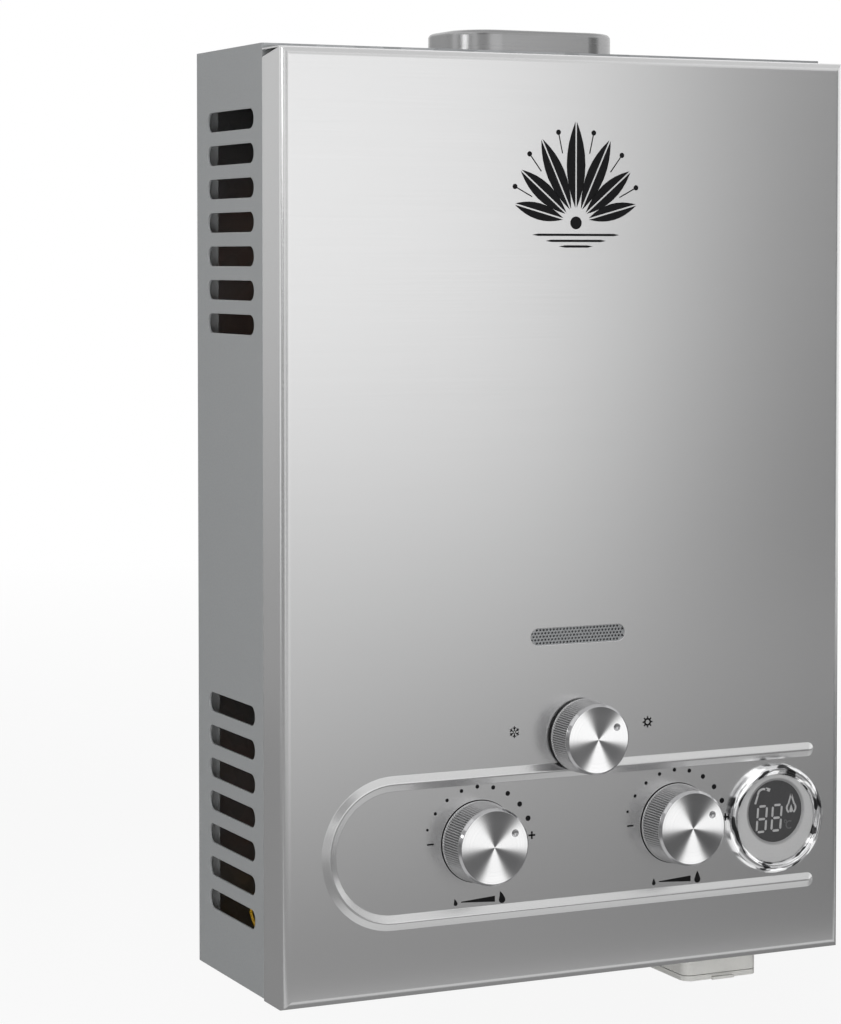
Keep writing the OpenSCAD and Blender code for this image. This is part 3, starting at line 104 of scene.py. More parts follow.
class Wiring:
    """A node tree being wired, with short calls for the nodes that the finishes share.

    Attributes:
        colour_inputs: Numbers of a Mix node's two colour inputs.
        colour_output: Number of its colour output.
        tree: Tree that the nodes go into.
    """

    colour_inputs: tuple[int, int] = (6, 7)
    colour_output: int = 2

    def __init__(self, tree: Tree) -> None:
        """Keeps the tree that the nodes go into."""
        self.tree = tree

    def node(self, kind: str, **settings: object) -> Node:
        """Adds a node.

        Args:
            kind: Blender's type name of the node.
            settings: Properties to set on it.

        Returns:
            The new node.
        """
        made = self.tree.nodes.new(kind)
        for key, value in settings.items():
            setattr(made, key, value)
        return made

    def feed(self, socket: Socket, source: object) -> None:
        """Sets a socket to a value, or links it to another node's output.

        Args:
            socket: Input to fill.
            source: Output socket, number or vector.
        """
        if isinstance(source, Socket):
            self.tree.links.new(source, socket)
        else:
            socket.default_value = source

    def math(self, operation: str, *values: object, clamp: bool = False) -> Socket:
        """Adds a Math node.

        Args:
            operation: Name of the operation.
            values: Its inputs, as sockets or numbers.
            clamp: Whether the result stays between 0 and 1.

        Returns:
            The result's socket.
        """
        made = self.node("ShaderNodeMath", operation=operation, use_clamp=clamp)
        for socket, value in zip(made.inputs, values):
            self.feed(socket, value)
        return made.outputs[0]

    def vector(self, operation: str, first: object, second: object, output: str = "Vector") -> Socket:
        """Adds a Vector Math node.

        Args:
            operation: Name of the operation.
            first: First vector.
            second: Second vector.
            output: Name of the output to take.

        Returns:
            The chosen output's socket.
        """
        made = self.node("ShaderNodeVectorMath", operation=operation)
        self.feed(made.inputs[0], first)
        self.feed(made.inputs[1], second)
        return made.outputs[output]

    def spread(
        self, value: object, low: object, high: object, to_low: object = 0.0, to_high: object = 1.0
    ) -> Socket:
        """Maps a range of values to another, clamped.

        Args:
            value: Value to map.
            low: Lower end of the old range.
            high: Upper end of the old range.
            to_low: Lower end of the new range.
            to_high: Upper end of the new range.

        Returns:
            The mapped value's socket.
        """
        made = self.node("ShaderNodeMapRange")
        for index, source in enumerate((value, low, high, to_low, to_high)):
            self.feed(made.inputs[index], source)
        return made.outputs[0]

    def blend(self, factor: object, first: object, second: object) -> Socket:
        """Mixes two colours.

        Args:
            factor: Share of the second colour.
            first: First colour, as a socket or three numbers.
            second: Second colour.

        Returns:
            The mixed colour's socket.
        """
        made = self.node("ShaderNodeMix", data_type="RGBA")
        self.feed(made.inputs[0], factor)
        for index, source in zip(self.colour_inputs, (first, second)):
            self.feed(made.inputs[index], source if isinstance(source, Socket) else (*source, 1.0))
        return made.outputs[self.colour_output]

    def ease(self, value: object, stops: Pair, ends: Pair = (0.0, 1.0)) -> Socket:
        """Eases from one value to another between two places.

        Args:
            value: Place.
            stops: Places of the two values.
            ends: The two values.

        Returns:
            The eased value's socket.
        """
        eased = self.spread(value, *stops, *ends)
        eased.node.interpolation_type = "SMOOTHSTEP"
        return eased

    def grey(self, tone: object) -> Socket:
        """Makes a grey colour of a value.

        Args:
            tone: The value.

        Returns:
            The colour's socket.
        """
        made = self.node("ShaderNodeCombineColor")
        for socket in made.inputs:
            self.feed(socket, tone)
        return made.outputs[0]

    def spot(self) -> Socket:
        """Returns the coordinates on the piece itself."""
        return self.node("ShaderNodeTexCoord").outputs["Object"]

    def length(self, vector: object) -> Socket:
        """Returns a vector's length."""
        return self.vector("LENGTH", vector, ZERO, "Value")

    def split(self, vector: object) -> tuple[Socket, ...]:
        """Splits a vector.

        Args:
            vector: Vector to split.

        Returns:
            The sockets of its X, Y and Z.
        """
        made = self.node("ShaderNodeSeparateXYZ")
        self.feed(made.inputs[0], vector)
        return tuple(made.outputs)

    def mix_shaders(self, share: object, first: Node, second: Node) -> Node:
        """Mixes two shaders.

        Args:
            share: Share of the second shader.
            first: First shader's node.
            second: Second shader's node.

        Returns:
            The mixing node.
        """
        made = self.node("ShaderNodeMixShader")
        for socket, source in zip(made.inputs, (share, first.outputs[0], second.outputs[0])):
            self.feed(socket, source)
        return made

    def end(self, shader: Node, kind: str = "Material") -> None:
        """Ends the tree of a material or a world with a shader."""
        self.feed(self.node(f"ShaderNodeOutput{kind}").inputs[0], shader.outputs[0])

    def noise(self, vector: object, scale: object, detail: float = 2.0) -> Socket:
        """Adds a noise texture.

        Args:
            vector: Coordinates.
            scale: Cycles per unit of the coordinates.
            detail: Number of finer layers.

        Returns:
            The noise value's socket.
        """
        made = self.node("ShaderNodeTexNoise")
        for name, source in (("Vector", vector), ("Scale", scale), ("Detail", detail)):
            self.feed(made.inputs[name], source)
        return made.outputs["Fac"]


class Effects:
    """Shader node groups that more than one finish uses, each built once.

    Attributes:
        line_range: Noise values at the two ends of the brushing lines.
        fine_range: Noise values at the two ends of the turning marks and the grain.
        wobble_scale: Cycles per metre of the wobble in the zinc crystals.
        wobble_depth: How far that wobble shifts them, in metres.
        clouds: Cycles per metre, detail and share of the two layers of handling marks.
        cloud_range: Noise values at the two ends of those marks.
        edge_range: Match of the true and the rounded normal beside an edge and on it.
    """

    line_range: Pair = (0.32, 0.68)
    fine_range: Pair = (0.3, 0.7)
    wobble_scale: float = 180.0
    wobble_depth: float = 0.004
    clouds: Sequence[Triple] = ((14.0, 4.0, 0.7), (90.0, 3.0, 0.3))
    cloud_range: Pair = (0.38, 0.66)
    edge_range: Pair = (0.97, 0.80)

    @staticmethod
    def _group(name: str, inputs: dict[str, str], outputs: dict[str, str]) -> tuple[Wiring, Node, Node]:
        """Starts a group with its named sockets.

        Args:
            name: Name of the group.
            inputs: Kinds of socket by input name.
            outputs: Kinds of socket by output name.

        Returns:
            The group's wiring, its input node and its output node.
        """
        tree = bpy.data.node_groups.new(name, "ShaderNodeTree")
        for direction, sockets in (("INPUT", inputs), ("OUTPUT", outputs)):
            for label, kind in sockets.items():
                tree.interface.new_socket(name=label, in_out=direction, socket_type=f"NodeSocket{kind}")
        wiring = Wiring(tree)
        return wiring, wiring.node("NodeGroupInput"), wiring.node("NodeGroupOutput")

    @classmethod
    @cache
    def lines(cls) -> Tree:
        """Returns the group of brushing lines, stretched along one direction."""
        inputs = {"Vector": "Vector", "Stretch": "Vector"}
        wiring, given, made = cls._group("brushing lines", inputs, {"Lines": "Float"})
        stretched = wiring.vector("MULTIPLY", given.outputs["Vector"], given.outputs["Stretch"])
        lines = wiring.spread(wiring.noise(stretched, 1.0, 4.0), *cls.line_range)
        wiring.feed(made.inputs["Lines"], lines)
        return wiring.tree

    @classmethod
    @cache
    def rings(cls) -> Tree:
        """Returns the group of turning marks, fine rings round the piece's own axis."""
        inputs = {"Vector": "Vector", "Axis": "Vector", "Fineness": "Float"}
        wiring, given, made = cls._group("turning marks", inputs, {"Lines": "Float"})
        along = wiring.vector("DOT_PRODUCT", given.outputs["Vector"], given.outputs["Axis"], "Value")
        distance = wiring.length(given.outputs["Vector"])
        squared = wiring.math("MULTIPLY", distance, distance)
        radial = wiring.math("SQRT", wiring.math("SUBTRACT", squared, wiring.math("MULTIPLY", along, along)))
        place = wiring.node("ShaderNodeCombineXYZ")
        for socket, source in zip(place.inputs, (radial, along)):
            wiring.feed(socket, wiring.math("MULTIPLY", source, given.outputs["Fineness"]))
        rings = wiring.spread(wiring.noise(place.outputs[0], 1.0, 3.0), *cls.fine_range)
        wiring.feed(made.inputs["Lines"], rings)
        return wiring.tree

    @classmethod
    @cache
    def spangle(cls) -> Tree:
        """Returns the group of zinc crystals, one tone to each cell."""
        inputs = {"Vector": "Vector", "Scale": "Float"}
        wiring, given, made = cls._group("zinc spangle", inputs, {"Lines": "Float"})
        wobble = wiring.noise(given.outputs["Vector"], cls.wobble_scale).node
        shifted = wiring.vector("SCALE", wobble.outputs["Color"], ZERO)
        shifted.node.inputs["Scale"].default_value = cls.wobble_depth
        cells = wiring.node("ShaderNodeTexVoronoi")
        wiring.feed(cells.inputs["Vector"], wiring.vector("ADD", given.outputs["Vector"], shifted))
        wiring.feed(cells.inputs["Scale"], given.outputs["Scale"])
        tone = wiring.node("ShaderNodeSeparateColor")
        wiring.feed(tone.inputs[0], cells.outputs["Color"])
        wiring.feed(made.inputs["Lines"], tone.outputs[0])
        return wiring.tree

    @classmethod
    @cache
    def grain(cls) -> Tree:
        """Returns the group of fine even grain, as on moulded, cast and coated skins."""
        inputs = {"Vector": "Vector", "Scale": "Float"}
        wiring, given, made = cls._group("skin grain", inputs, {"Lines": "Float"})
        fine = wiring.noise(given.outputs["Vector"], given.outputs["Scale"], 3.0)
        wiring.feed(made.inputs["Lines"], wiring.spread(fine, *cls.fine_range))
        return wiring.tree

    @classmethod
    @cache
    def handling(cls) -> Tree:
        """Returns the group of faint cloudy marks that handling leaves."""
        wiring, given, made = cls._group("handling marks", {"Vector": "Vector"}, {"Marks": "Float"})
        layers = [
            wiring.math("MULTIPLY", wiring.noise(given.outputs["Vector"], scale, detail), share)
            for scale, detail, share in cls.clouds
        ]
        wiring.feed(made.inputs["Marks"], wiring.spread(wiring.math("ADD", *layers), *cls.cloud_range))
        return wiring.tree

    @classmethod
    @cache
    def edges(cls) -> Tree:
        """Returns the group that rounds sharp edges and marks where they rub bright."""
        outputs = {"Edge": "Float", "Rounded": "Vector"}
        wiring, given, made = cls._group("rubbed edges", {"Radius": "Float"}, outputs)
        bevel = wiring.node("ShaderNodeBevel", samples=6)
        wiring.feed(bevel.inputs["Radius"], given.outputs["Radius"])
        true = wiring.node("ShaderNodeNewGeometry")
        match = wiring.vector("DOT_PRODUCT", bevel.outputs[0], true.outputs["Normal"], "Value")
        wiring.feed(made.inputs["Edge"], wiring.spread(match, *cls.edge_range))
        wiring.feed(made.inputs["Rounded"], bevel.outputs[0])
        return wiring.tree


# Finishes


@dataclass(frozen=True)
class Finish:
    """One surface finish, made into a node material.

    Attributes:
        name: Plain name of the finish.
        colour: Main colour, linear.
        second: Colour that the pattern mixes in.
        rough: Roughness at the two ends of the pattern.
        metallic: 1 for bare metal, 0 for coats and plastics.
        pattern: Close-up pattern.
        stretch: Cycles per metre of the pattern along X, Y and Z.
        relief: Depth of the pattern's bump, in millimetres.
        rubbed: How much lighter the edges are.
        coat: Weight of a clear coat.
        anisotropy: Stretch of the highlights.
        specular: Strength of a coat's or plastic's own shine.
        edge_radius: Radius that sharp edges are shown with, in metres.
        marks_share: How much the handling marks show.
        marks_rough: How much the handling marks add to the roughness, as a share of its range.
        coat_rough: Roughness of the clear coat.
        edge_gain: How many times brighter a rubbed edge is.
        edge_lift: What is added to that.
    """

    name: str
    colour: Colour
    second: Colour
    rough: Pair
    metallic: float = 0.0
    pattern: Pattern = Pattern.GRAIN
    stretch: Triple = (900.0, 900.0, 900.0)
    relief: float = 0.01
    rubbed: float = 0.25
    coat: float = 0.0
    anisotropy: float = 0.0
    specular: float = 0.5
    edge_radius: float = 0.35 * MM
    marks_share: float = 0.3
    marks_rough: float = 0.25
    coat_rough: float = 0.06
    edge_gain: float = 1.35
    edge_lift: float = 0.03

    def _pattern(self, wiring: Wiring, place: Socket, axis: Triple) -> Socket:
        """Places the finish's pattern group.

        Args:
            wiring: The material's wiring.
            place: Coordinates on the piece.
            axis: Axis of turning marks.

        Returns:
            The pattern's value, from 0 to 1.
        """
        builders = {
            Pattern.BRUSHED: Effects.lines, Pattern.RINGS: Effects.rings,
            Pattern.SPANGLE: Effects.spangle, Pattern.GRAIN: Effects.grain,
        }
        group = wiring.node("ShaderNodeGroup", node_tree=builders[self.pattern]())
        scale = self.stretch[0]
        for name, value in {"Stretch": self.stretch, "Axis": axis, "Fineness": scale, "Scale": scale}.items():
            if name in group.inputs:
                group.inputs[name].default_value = value
        wiring.feed(group.inputs["Vector"], place)
        return group.outputs["Lines"]

    def _tint(self, wiring: Wiring, place: Socket, tone: Socket) -> Socket:
        """Returns the tone after any colouring by place; a plain finish leaves it."""
        return tone

    def _lean(self, wiring: Wiring, place: Socket, normal: Socket) -> Socket:
        """Returns the normal after any lean by place; a plain finish leaves it."""
        return normal

    def material(self, centre: Triple = ZERO, axis: Triple = UPRIGHT) -> bpy.types.Material:
        """Makes the material, or returns it if the same one was made before.

        Args:
            centre: Centre of the pattern on the piece, in metres.
            axis: Axis of turning marks.

        Returns:
            The node material.
        """
        label = self.name
        if any(centre):
            label += " at " + " ".join(f"{value / MM:.0f}" for value in centre)
        found = bpy.data.materials.get(label)
        if found:
            return found
        made = bpy.data.materials.new(label)
        made.use_nodes = True
        wiring = Wiring(made.node_tree)
        shader = made.node_tree.nodes["Principled BSDF"]
        mapping = wiring.node("ShaderNodeMapping")
        wiring.feed(mapping.inputs["Vector"], wiring.spot())
        mapping.inputs["Location"].default_value = [-value for value in centre]
        place = mapping.outputs[0]

        lines = self._pattern(wiring, place, axis)
        marks = wiring.node("ShaderNodeGroup", node_tree=Effects.handling())
        wiring.feed(marks.inputs["Vector"], place)
        edges = wiring.node("ShaderNodeGroup", node_tree=Effects.edges())
        edges.inputs["Radius"].default_value = self.edge_radius

        tone = wiring.blend(lines, self.colour, self.second)
        faded = wiring.math("MULTIPLY", marks.outputs["Marks"], self.marks_share)
        tone = wiring.blend(faded, tone, self.second)
        tone = self._tint(wiring, place, tone)
        lifted = tuple(min(1.0, value * self.edge_gain + self.edge_lift) for value in self.colour)
        worn = wiring.math("MULTIPLY", edges.outputs["Edge"], self.rubbed)
        wiring.feed(shader.inputs["Base Color"], wiring.blend(worn, tone, lifted))

        low, high = self.rough
        rough = wiring.spread(lines, 0.0, 1.0, low, high)
        lift = wiring.math("MULTIPLY", marks.outputs["Marks"], self.marks_rough * (high - low))
        wiring.feed(shader.inputs["Roughness"], wiring.math("ADD", rough, lift))

        bump = wiring.node("ShaderNodeBump")
        bump.inputs["Strength"].default_value = 1.0
        bump.inputs["Distance"].default_value = self.relief * MM
        wiring.feed(bump.inputs["Height"], lines)
        wiring.feed(bump.inputs["Normal"], edges.outputs["Rounded"])
        wiring.feed(shader.inputs["Normal"], self._lean(wiring, place, bump.outputs[0]))

        for name, value in (
            ("Metallic", self.metallic), ("Coat Weight", self.coat), ("Coat Roughness", self.coat_rough),
            ("Anisotropic", self.anisotropy), ("Specular IOR Level", self.specular),
        ):
            shader.inputs[name].default_value = value
        self._finish_shader(wiring, place, shader)
        return made

    def _finish_shader(self, wiring: Wiring, place: Socket, shader: Node) -> None:
        """Sets what only some finishes have on the shader; a plain finish sets nothing."""


@dataclass(frozen=True)
class SpunFinishWithPaintedShade(Finish):
    """Sunray-spun metal: fine rings, light fans from a leaning normal, and dark fans of painted shade,
    spreading from the centre.

    Attributes:
        fans: Number of light fans.
        turn: Angle of the first light fan, in degrees from +X.
        sway: How far the fans stray from even spacing, in degrees of their wave.
        sway_turn: Angle where they don't stray, in degrees from +X.
        tilt: Lean of the light fans towards the bright side of the room.
        light_wave: Values of the wave where the lean starts and is full.
        dark: Colour of the painted shade between the fans.
        painted_shade_wave: Values of the wave where that colour starts and is full.
    """

    fans: int = 3
    turn: float = 15.0
    sway: float = 30.0
    sway_turn: float = 25.0
    tilt: Triple = (-0.2, 0.0, 0.2)
    light_wave: Pair = (-0.7, 1.0)
    # Painted shade: this dark colour is painted into the face between the light fans.
    dark: Colour = (0.33, 0.33, 0.335)
    painted_shade_wave: Pair = (0.55, -1.0)

    def _wave(self, wiring: Wiring, place: Socket) -> Socket:
        """Makes the wave of the fans.

        Args:
            wiring: The material's wiring.
            place: Coordinates on the piece, from its centre.

        Returns:
            The wave, from 1 in the light fans to -1 in the dark ones.
        """
        x, _, z = wiring.split(place)
        angle = wiring.math("ARCTAN2", z, x)
        turned = wiring.math("SUBTRACT", angle, math.radians(self.turn))
        turned = wiring.math("MULTIPLY", turned, float(self.fans))
        stray = wiring.math("COSINE", wiring.math("SUBTRACT", angle, math.radians(self.sway_turn)))
        stray = wiring.math("MULTIPLY", wiring.math("SUBTRACT", stray, 1.0), math.radians(self.sway))
        return wiring.math("COSINE", wiring.math("ADD", turned, stray))

    def _tint(self, wiring: Wiring, place: Socket, tone: Socket) -> Socket:
        """Returns the tone, with painted shade between the light fans."""
        return wiring.blend(wiring.ease(self._wave(wiring, place), self.painted_shade_wave), tone, self.dark)

    def _lean(self, wiring: Wiring, place: Socket, normal: Socket) -> Socket:
        """Leans the light fans towards the bright side of the room.

        Args:
            wiring: The material's wiring.
            place: Coordinates on the piece, from its centre.
            normal: Normal so far.

        Returns:
            The leaning normal.
        """
        share = wiring.ease(self._wave(wiring, place), self.light_wave)
        leaned = wiring.vector("SCALE", self.tilt, ZERO)
        wiring.feed(leaned.node.inputs["Scale"], share)
        return wiring.vector("NORMALIZE", wiring.vector("ADD", normal, leaned), ZERO)

    def _finish_shader(self, wiring: Wiring, place: Socket, shader: Node) -> None:
        """Turns the highlights round the axis."""
        tangent = wiring.node("ShaderNodeTangent", direction_type="RADIAL", axis="Y")
        wiring.feed(shader.inputs["Tangent"], tangent.outputs[0])


@dataclass(frozen=True)
class PaintedReflectionFinish(Finish):
    """Polished ring with a painted reflection of a busy room: broken light and dark patches painted round it.

    Attributes:
        round_scale: Patches round the ring, as the radius of the noise's circle.
        cross_scale: Patches across the ring, per metre.
        painted_highlight_over: Noise value over which a patch is a painted highlight.
        painted_dark_under: Noise value under which a patch is a painted dark reflection.
        soft: Range of noise values over which a patch fades in.
        glow: Brightness that the painted highlight patches give off.
        dark: Colour of the painted dark reflection patches.
    """

    round_scale: float = 2.3
    cross_scale: float = 330.0
    painted_highlight_over: float = 0.57
    painted_dark_under: float = 0.455
    soft: float = 0.04
    glow: float = 0.5
    # Painted reflection: the dark patches are painted into the ring's colour.
    dark: Colour = (0.06, 0.06, 0.062)

    def _painted_reflection_patches(self, wiring: Wiring, place: Socket) -> Socket:
        """Makes the noise that the painted reflection patches are cut from.

        Args:
            wiring: The material's wiring.
            place: Coordinates on the piece, from its centre.

        Returns:
            The noise value's socket.
        """
        flat = wiring.vector("MULTIPLY", place, ACROSS_FRONT)
        reach = wiring.length(flat)
        spun = wiring.vector("SCALE", wiring.vector("NORMALIZE", flat, ZERO), ZERO)
        spun.node.inputs["Scale"].default_value = self.round_scale
        across = wiring.node("ShaderNodeCombineXYZ")
        wiring.feed(across.inputs[1], wiring.math("MULTIPLY", reach, self.cross_scale))
        return wiring.noise(wiring.vector("ADD", spun, across.outputs[0]), 1.0, 1.0)

    def _tint(self, wiring: Wiring, place: Socket, tone: Socket) -> Socket:
        """Returns the tone, with the painted dark reflection patches."""
        share = wiring.spread(self._painted_reflection_patches(wiring, place), self.painted_dark_under, self.painted_dark_under - self.soft)
        return wiring.blend(share, tone, self.dark)

    def _finish_shader(self, wiring: Wiring, place: Socket, shader: Node) -> None:
        """Makes the painted highlight patches glow.

        Args:
            wiring: The material's wiring.
            place: Coordinates on the piece, from its centre.
            shader: The material's shader.
        """
        share = wiring.spread(self._painted_reflection_patches(wiring, place), self.painted_highlight_over, self.painted_highlight_over + self.soft)
        # Painted highlight: the light patches glow by emission, though the ring is no lamp.
        wiring.feed(shader.inputs["Emission Color"], wiring.blend(share, ZERO, (self.glow,) * 3))
        shader.inputs["Emission Strength"].default_value = 1.0


@dataclass(frozen=True)
class RingedFinish(Finish):
    """Satin skin with a soft darker ring round a window.

    Attributes:
        ring_radius: Radius of the window that the ring goes round.
        ring_width: How far the ring reaches out.
        shade: Colour of the ring.
    """

    ring_radius: float = 15.0 * MM
    ring_width: float = 1.7 * MM
    shade: Colour = (0.24, 0.24, 0.242)

    def _tint(self, wiring: Wiring, place: Socket, tone: Socket) -> Socket:
        """Darkens the tone close to the window.

        Args:
            wiring: The material's wiring.
            place: Coordinates on the piece, from the window's centre.
            tone: Colour so far.

        Returns:
            The ringed colour.
        """
        reach = wiring.length(wiring.vector("MULTIPLY", place, ACROSS_FRONT))
        full, end = self.ring_radius + 0.5 * self.ring_width, self.ring_radius + self.ring_width
        near = wiring.spread(reach, full, end, 1.0, 0.0)
        return wiring.blend(near, tone, self.shade)


@dataclass(frozen=True)
class WrappedFinish(Finish):
    """Printed wrap of a dry cell: a band of another colour above a height.

    Attributes:
        band_from: Height where the band starts, in metres.
        band: Colour of the band.
    """

    band_from: float = -0.186
    band: Colour = (0.45, 0.22, 0.06)

    def _tint(self, wiring: Wiring, place: Socket, tone: Socket) -> Socket:
        """Returns the tone, with the upper band coloured."""
        _, _, height = wiring.split(place)
        return wiring.blend(wiring.math("GREATER_THAN", height, self.band_from), tone, self.band)


def metal(name: str, colour: Colour, second: Colour, rough: Pair, **more: object) -> Finish:
    """Returns a finish of bare metal, with any other of its fields."""
    return Finish(name, colour, second, rough, metallic=1.0, **more)


STAINLESS = metal(
    "brushed stainless", (0.795, 0.795, 0.797), (0.788, 0.788, 0.79), (0.242, 0.256),
    pattern=Pattern.BRUSHED, stretch=(14.0, 900.0, 2600.0), relief=0.00015, rubbed=0.1, marks_share=0.1,
)
COLLAR = metal(
    "rolled steel", (0.40, 0.40, 0.402), (0.38, 0.38, 0.383), (0.24, 0.27),
    pattern=Pattern.BRUSHED, stretch=(14.0, 14.0, 1800.0), relief=0.0004, rubbed=0.1,
)
# Black ink for the prints, also used for the painted shadow rings at the knobs' feet.
INK_AND_FOOT_SHADOW = Finish(
    "black ink and foot shadow", (0.004, 0.004, 0.004), (0.007, 0.007, 0.008), (0.45, 0.58),
    relief=0.002, rubbed=0.0, specular=0.12,
)
SEGMENT = Finish(
    "display segment", (0.34, 0.34, 0.342), (0.29, 0.29, 0.292), (0.35, 0.45), relief=0.001, rubbed=0.0
)
FAINT_SEGMENT = Finish(
    "faint segment", (0.085, 0.085, 0.087), (0.07, 0.07, 0.072), (0.35, 0.45), relief=0.001, rubbed=0.0
)
# Painted shade: dark metal laid on the knurl's groove floors, where shade falls.
PAINTED_GROOVE_SHADE = metal(
    "knurl groove shade", (0.13, 0.13, 0.132), (0.10, 0.10, 0.102), (0.3, 0.4), relief=0.0002, rubbed=0.0
)
POLISHED = metal(
    "polished rim", (0.60, 0.60, 0.61), (0.54, 0.54, 0.55), (0.05, 0.1), relief=0.0005, rubbed=0.1
)
# Spun knob face, with painted shade in its dark fans.
SPUN_PAINTED_SHADE = SpunFinishWithPaintedShade(
    "spun face", (0.94, 0.94, 0.942), (0.90, 0.90, 0.903), (0.18, 0.25), metallic=1.0,
    pattern=Pattern.RINGS, stretch=(3000.0, 0.0, 0.0), relief=0.0008, rubbed=0.0,
    anisotropy=0.3, marks_share=0.05,
)
FINISHES: dict[str, Finish] = {
    "case_paint": Finish(
        "satin grey coat", (0.254, 0.262, 0.266), (0.242, 0.25, 0.254), (0.46, 0.56),
        stretch=(1400.0,) * 3, relief=0.006,
    ),
    "stainless": STAINLESS,
    "zinc_steel": metal(
        "zinc coated steel", (0.50, 0.51, 0.52), (0.40, 0.41, 0.42), (0.36, 0.5),
        pattern=Pattern.SPANGLE, stretch=(120.0,) * 3, relief=0.004,
    ),
    "copper": metal(
        "dull copper", (0.62, 0.32, 0.20), (0.36, 0.18, 0.11), (0.32, 0.5),
        stretch=(120.0,) * 3, marks_share=0.6,
    ),
    "brass": metal(
        "turned brass", (0.68, 0.47, 0.19), (0.55, 0.36, 0.14), (0.24, 0.38),
        stretch=(500.0,) * 3, relief=0.004,
    ),
    "cast_alloy": metal(
        "cast alloy", (0.50, 0.51, 0.52), (0.42, 0.43, 0.44), (0.5, 0.66),
        stretch=(1100.0,) * 3, relief=0.03,
    ),
    "steel": metal(
        "turned steel", (0.54, 0.55, 0.56), (0.46, 0.47, 0.48), (0.26, 0.4),
        stretch=(700.0,) * 3, relief=0.003,
    ),
    "knob_metal": metal(
        "knurled metal", (0.64, 0.64, 0.645), (0.62, 0.62, 0.625), (0.2, 0.24),
        stretch=(1500.0,) * 3, relief=0.0002,
    ),
    "knob_face": SPUN_PAINTED_SHADE,
    # Chrome ring with its reflections painted on: dark patches in the colour, light patches as glow.
    "chrome": PaintedReflectionFinish(
        "bright chrome", (0.86, 0.86, 0.87), (0.82, 0.82, 0.83), (0.03, 0.06),
        metallic=1.0, relief=0.0003, rubbed=0.0,
    ),
    "fascia": RingedFinish(
        "satin silver", (0.47, 0.47, 0.472), (0.45, 0.45, 0.452), (0.38, 0.48), metallic=0.35, relief=0.003
    ),
    "window": Finish(
        "dark window", (0.044, 0.044, 0.045), (0.038, 0.038, 0.039), (0.10, 0.16),
        relief=0.0004, rubbed=0.0, coat=0.4,
    ),
    "board": Finish("board lacquer", (0.02, 0.11, 0.045), (0.015, 0.085, 0.035), (0.3, 0.42)),
    "dark_plastic": Finish(
        "black moulding", (0.018, 0.018, 0.019), (0.026, 0.026, 0.027), (0.42, 0.56), relief=0.02
    ),
    "off_white": Finish(
        "off-white moulding", (0.63, 0.626, 0.60), (0.61, 0.606, 0.58), (0.4, 0.52), relief=0.012, rubbed=0.1
    ),
    "ceramic": Finish(
        "glazed ceramic", (0.80, 0.78, 0.74), (0.74, 0.72, 0.68), (0.12, 0.2), coat=0.5, relief=0.004
    ),
    "rubber": Finish("black rubber", (0.016,) * 3, (0.024,) * 3, (0.6, 0.75), relief=0.02),
    "red_lead": Finish("red insulation", (0.42, 0.02, 0.014), (0.35, 0.016, 0.012), (0.35, 0.5)),
    "yellow_lead": Finish("yellow insulation", (0.62, 0.36, 0.015), (0.52, 0.3, 0.012), (0.35, 0.5)),
    "cell_wrap": WrappedFinish(
        "cell wrap", (0.02, 0.022, 0.026), (0.03, 0.032, 0.036), (0.25, 0.35), metallic=0.4, coat=0.3
    ),
    "coil_blue": Finish("potted coil", (0.012, 0.028, 0.12), (0.01, 0.022, 0.1), (0.25, 0.38), coat=0.2),
}


# Modelling bench


